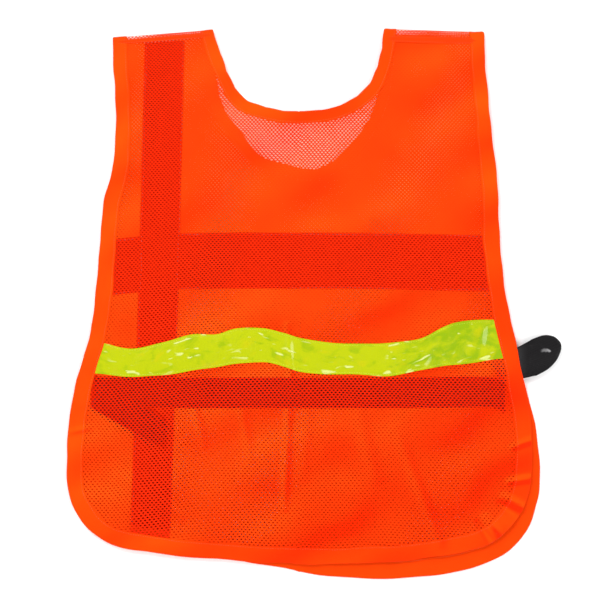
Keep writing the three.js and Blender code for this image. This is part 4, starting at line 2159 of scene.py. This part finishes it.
@dataclass
class Studio:
    """White floor, white room, soft lamps and the camera overhead."""

    centre: float
    shoulder: float
    middle_down: float = 0.340
    span: float = 0.750
    lens: float = 85.0
    film: float = 36.0
    plane: float = 5 * MM
    floor_size: float = 12.0
    floor_height: float = -0.2 * MM
    floor_colour: tuple = (0.93, 0.93, 0.93)
    room: tuple = (0.55, 0.95, 1.95, 0.14)
    lamps: tuple = (
        ("key_softbox", (-1.1, 1.5, 2.1), 0.9, 34.0),
        ("fill_softbox", (1.5, -0.6, 2.0), 1.2, 16.0),
    )

    def build(self) -> None:
        """Makes the camera first, then the floor and the light."""
        target = Vector((self.centre, self.shoulder - self.middle_down, self.plane))
        data = bpy.data.cameras.new("overhead")
        data.lens = self.lens
        data.sensor_width = self.film
        data.clip_end = 30.0
        camera = bpy.data.objects.new("overhead", data)
        camera.location = target + Vector((0, 0, self.span * self.lens / self.film))
        bpy.context.scene.collection.objects.link(camera)
        bpy.context.scene.camera = camera
        self.floor()
        self.light(target)

    def floor(self) -> None:
        """Lays the plain floor."""
        bpy.ops.object.select_all(action="DESELECT")
        bpy.ops.mesh.primitive_plane_add(size=self.floor_size, location=(0, 0, self.floor_height))
        floor = bpy.context.object
        floor.name = "floor"
        b = Bench("white_floor")
        rough = b.noise(b.place(), 240.0, 2.0) * 0.1 + 0.75
        floor.data.materials.append(b.finish({"Base Color": self.floor_colour, "Roughness": rough}))
        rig.stage(floor)

    def light(self, target: Vector) -> None:
        """Hangs two soft lamps in a white room that is brighter at its sides than overhead.

        Args:
            target: The middle of the vest, which the lamps face.
        """
        world = bpy.data.worlds.new("white_room")
        world.use_nodes = True
        nodes = world.node_tree.nodes
        links = world.node_tree.links
        way = nodes.new("ShaderNodeTexCoord")
        split = nodes.new("ShaderNodeSeparateXYZ")
        ramp = nodes.new("ShaderNodeMapRange")
        ramp.interpolation_type = "SMOOTHSTEP"
        for name, value in zip(("From Min", "From Max", "To Min", "To Max"), self.room):
            ramp.inputs[name].default_value = value
        links.new(way.outputs["Generated"], split.inputs["Vector"])
        links.new(split.outputs["Z"], ramp.inputs["Value"])
        links.new(ramp.outputs["Result"], nodes["Background"].inputs["Strength"])
        nodes["Background"].inputs["Color"].default_value = (1.0, 1.0, 1.0, 1.0)
        bpy.context.scene.world = world
        for name, place, size, power in self.lamps:
            data = bpy.data.lights.new(name, "AREA")
            data.shape = "SQUARE"
            data.size = size
            data.energy = power
            lamp = bpy.data.objects.new(name, data)
            lamp.location = target + Vector(place)
            lamp.rotation_euler = (-Vector(place)).to_track_quat("-Z", "Y").to_euler()
            bpy.context.scene.collection.objects.link(lamp)
        bpy.context.scene.view_settings.view_transform = "Standard"
        bpy.context.scene.view_settings.look = "None"


def anchor() -> tuple:
    """Finds the vest in the frame by its left shoulder mount.

    Returns:
        The centreline's X and the shoulder line's Y.
    """
    for mount in frame["record"]["mounts"]:
        if mount["name"] == "left_shoulder_rest":
            x, y = mount["pos_m"][:2]
            return float(x) + MOUNT_ACROSS, float(y) + MOUNT_DOWN
    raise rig.FrameError("the record has no left_shoulder_rest mount")


def main() -> None:
    """Builds the studio, then the vest from the floor up."""
    logging.basicConfig(level=logging.INFO, format="%(message)s")
    centre, shoulder = anchor()
    Studio(centre, shoulder).build()
    drape = Drape(Cut(), centre, shoulder)
    net = NetFinish().make()
    tape = TapeFinish().make()
    film = FilmFinish().make()
    silver = SilverFinish().make()
    backing = BackingFinish().make()
    elastic = ElasticFinish().make()
    orange_thread = ThreadFinish("orange_thread", (0.90, 0.085, 0.008), (0.62, 0.04, 0.004)).make()
    lime_thread = ThreadFinish("lime_thread", (0.66, 0.76, 0.03), (0.40, 0.50, 0.01)).make()
    grey_thread = ThreadFinish("grey_thread", (0.36, 0.36, 0.37), (0.2, 0.2, 0.21)).make()
    black_thread = ThreadFinish("black_thread", (0.03, 0.029, 0.031), (0.01, 0.01, 0.011)).make()
    FrontTapes(drape, silver, backing, grey_thread).build()
    Elastic(drape, elastic, black_thread).build()
    Panels(drape, net).build()
    Bindings(drape, tape, orange_thread).build()
    LimeStrip(drape, film, lime_thread).build()
    ShoulderSeams(drape, net, orange_thread).build()
    sizes = {
        "cad": [list(corner) for corner in CAD_BOX],
        "visual": [list(corner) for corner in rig.bounds()],
    }
    with open("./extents.json", "w") as out:
        json.dump(sizes, out)
    log.info("sizes %s", sizes)


if __name__ == "__main__":
    main()
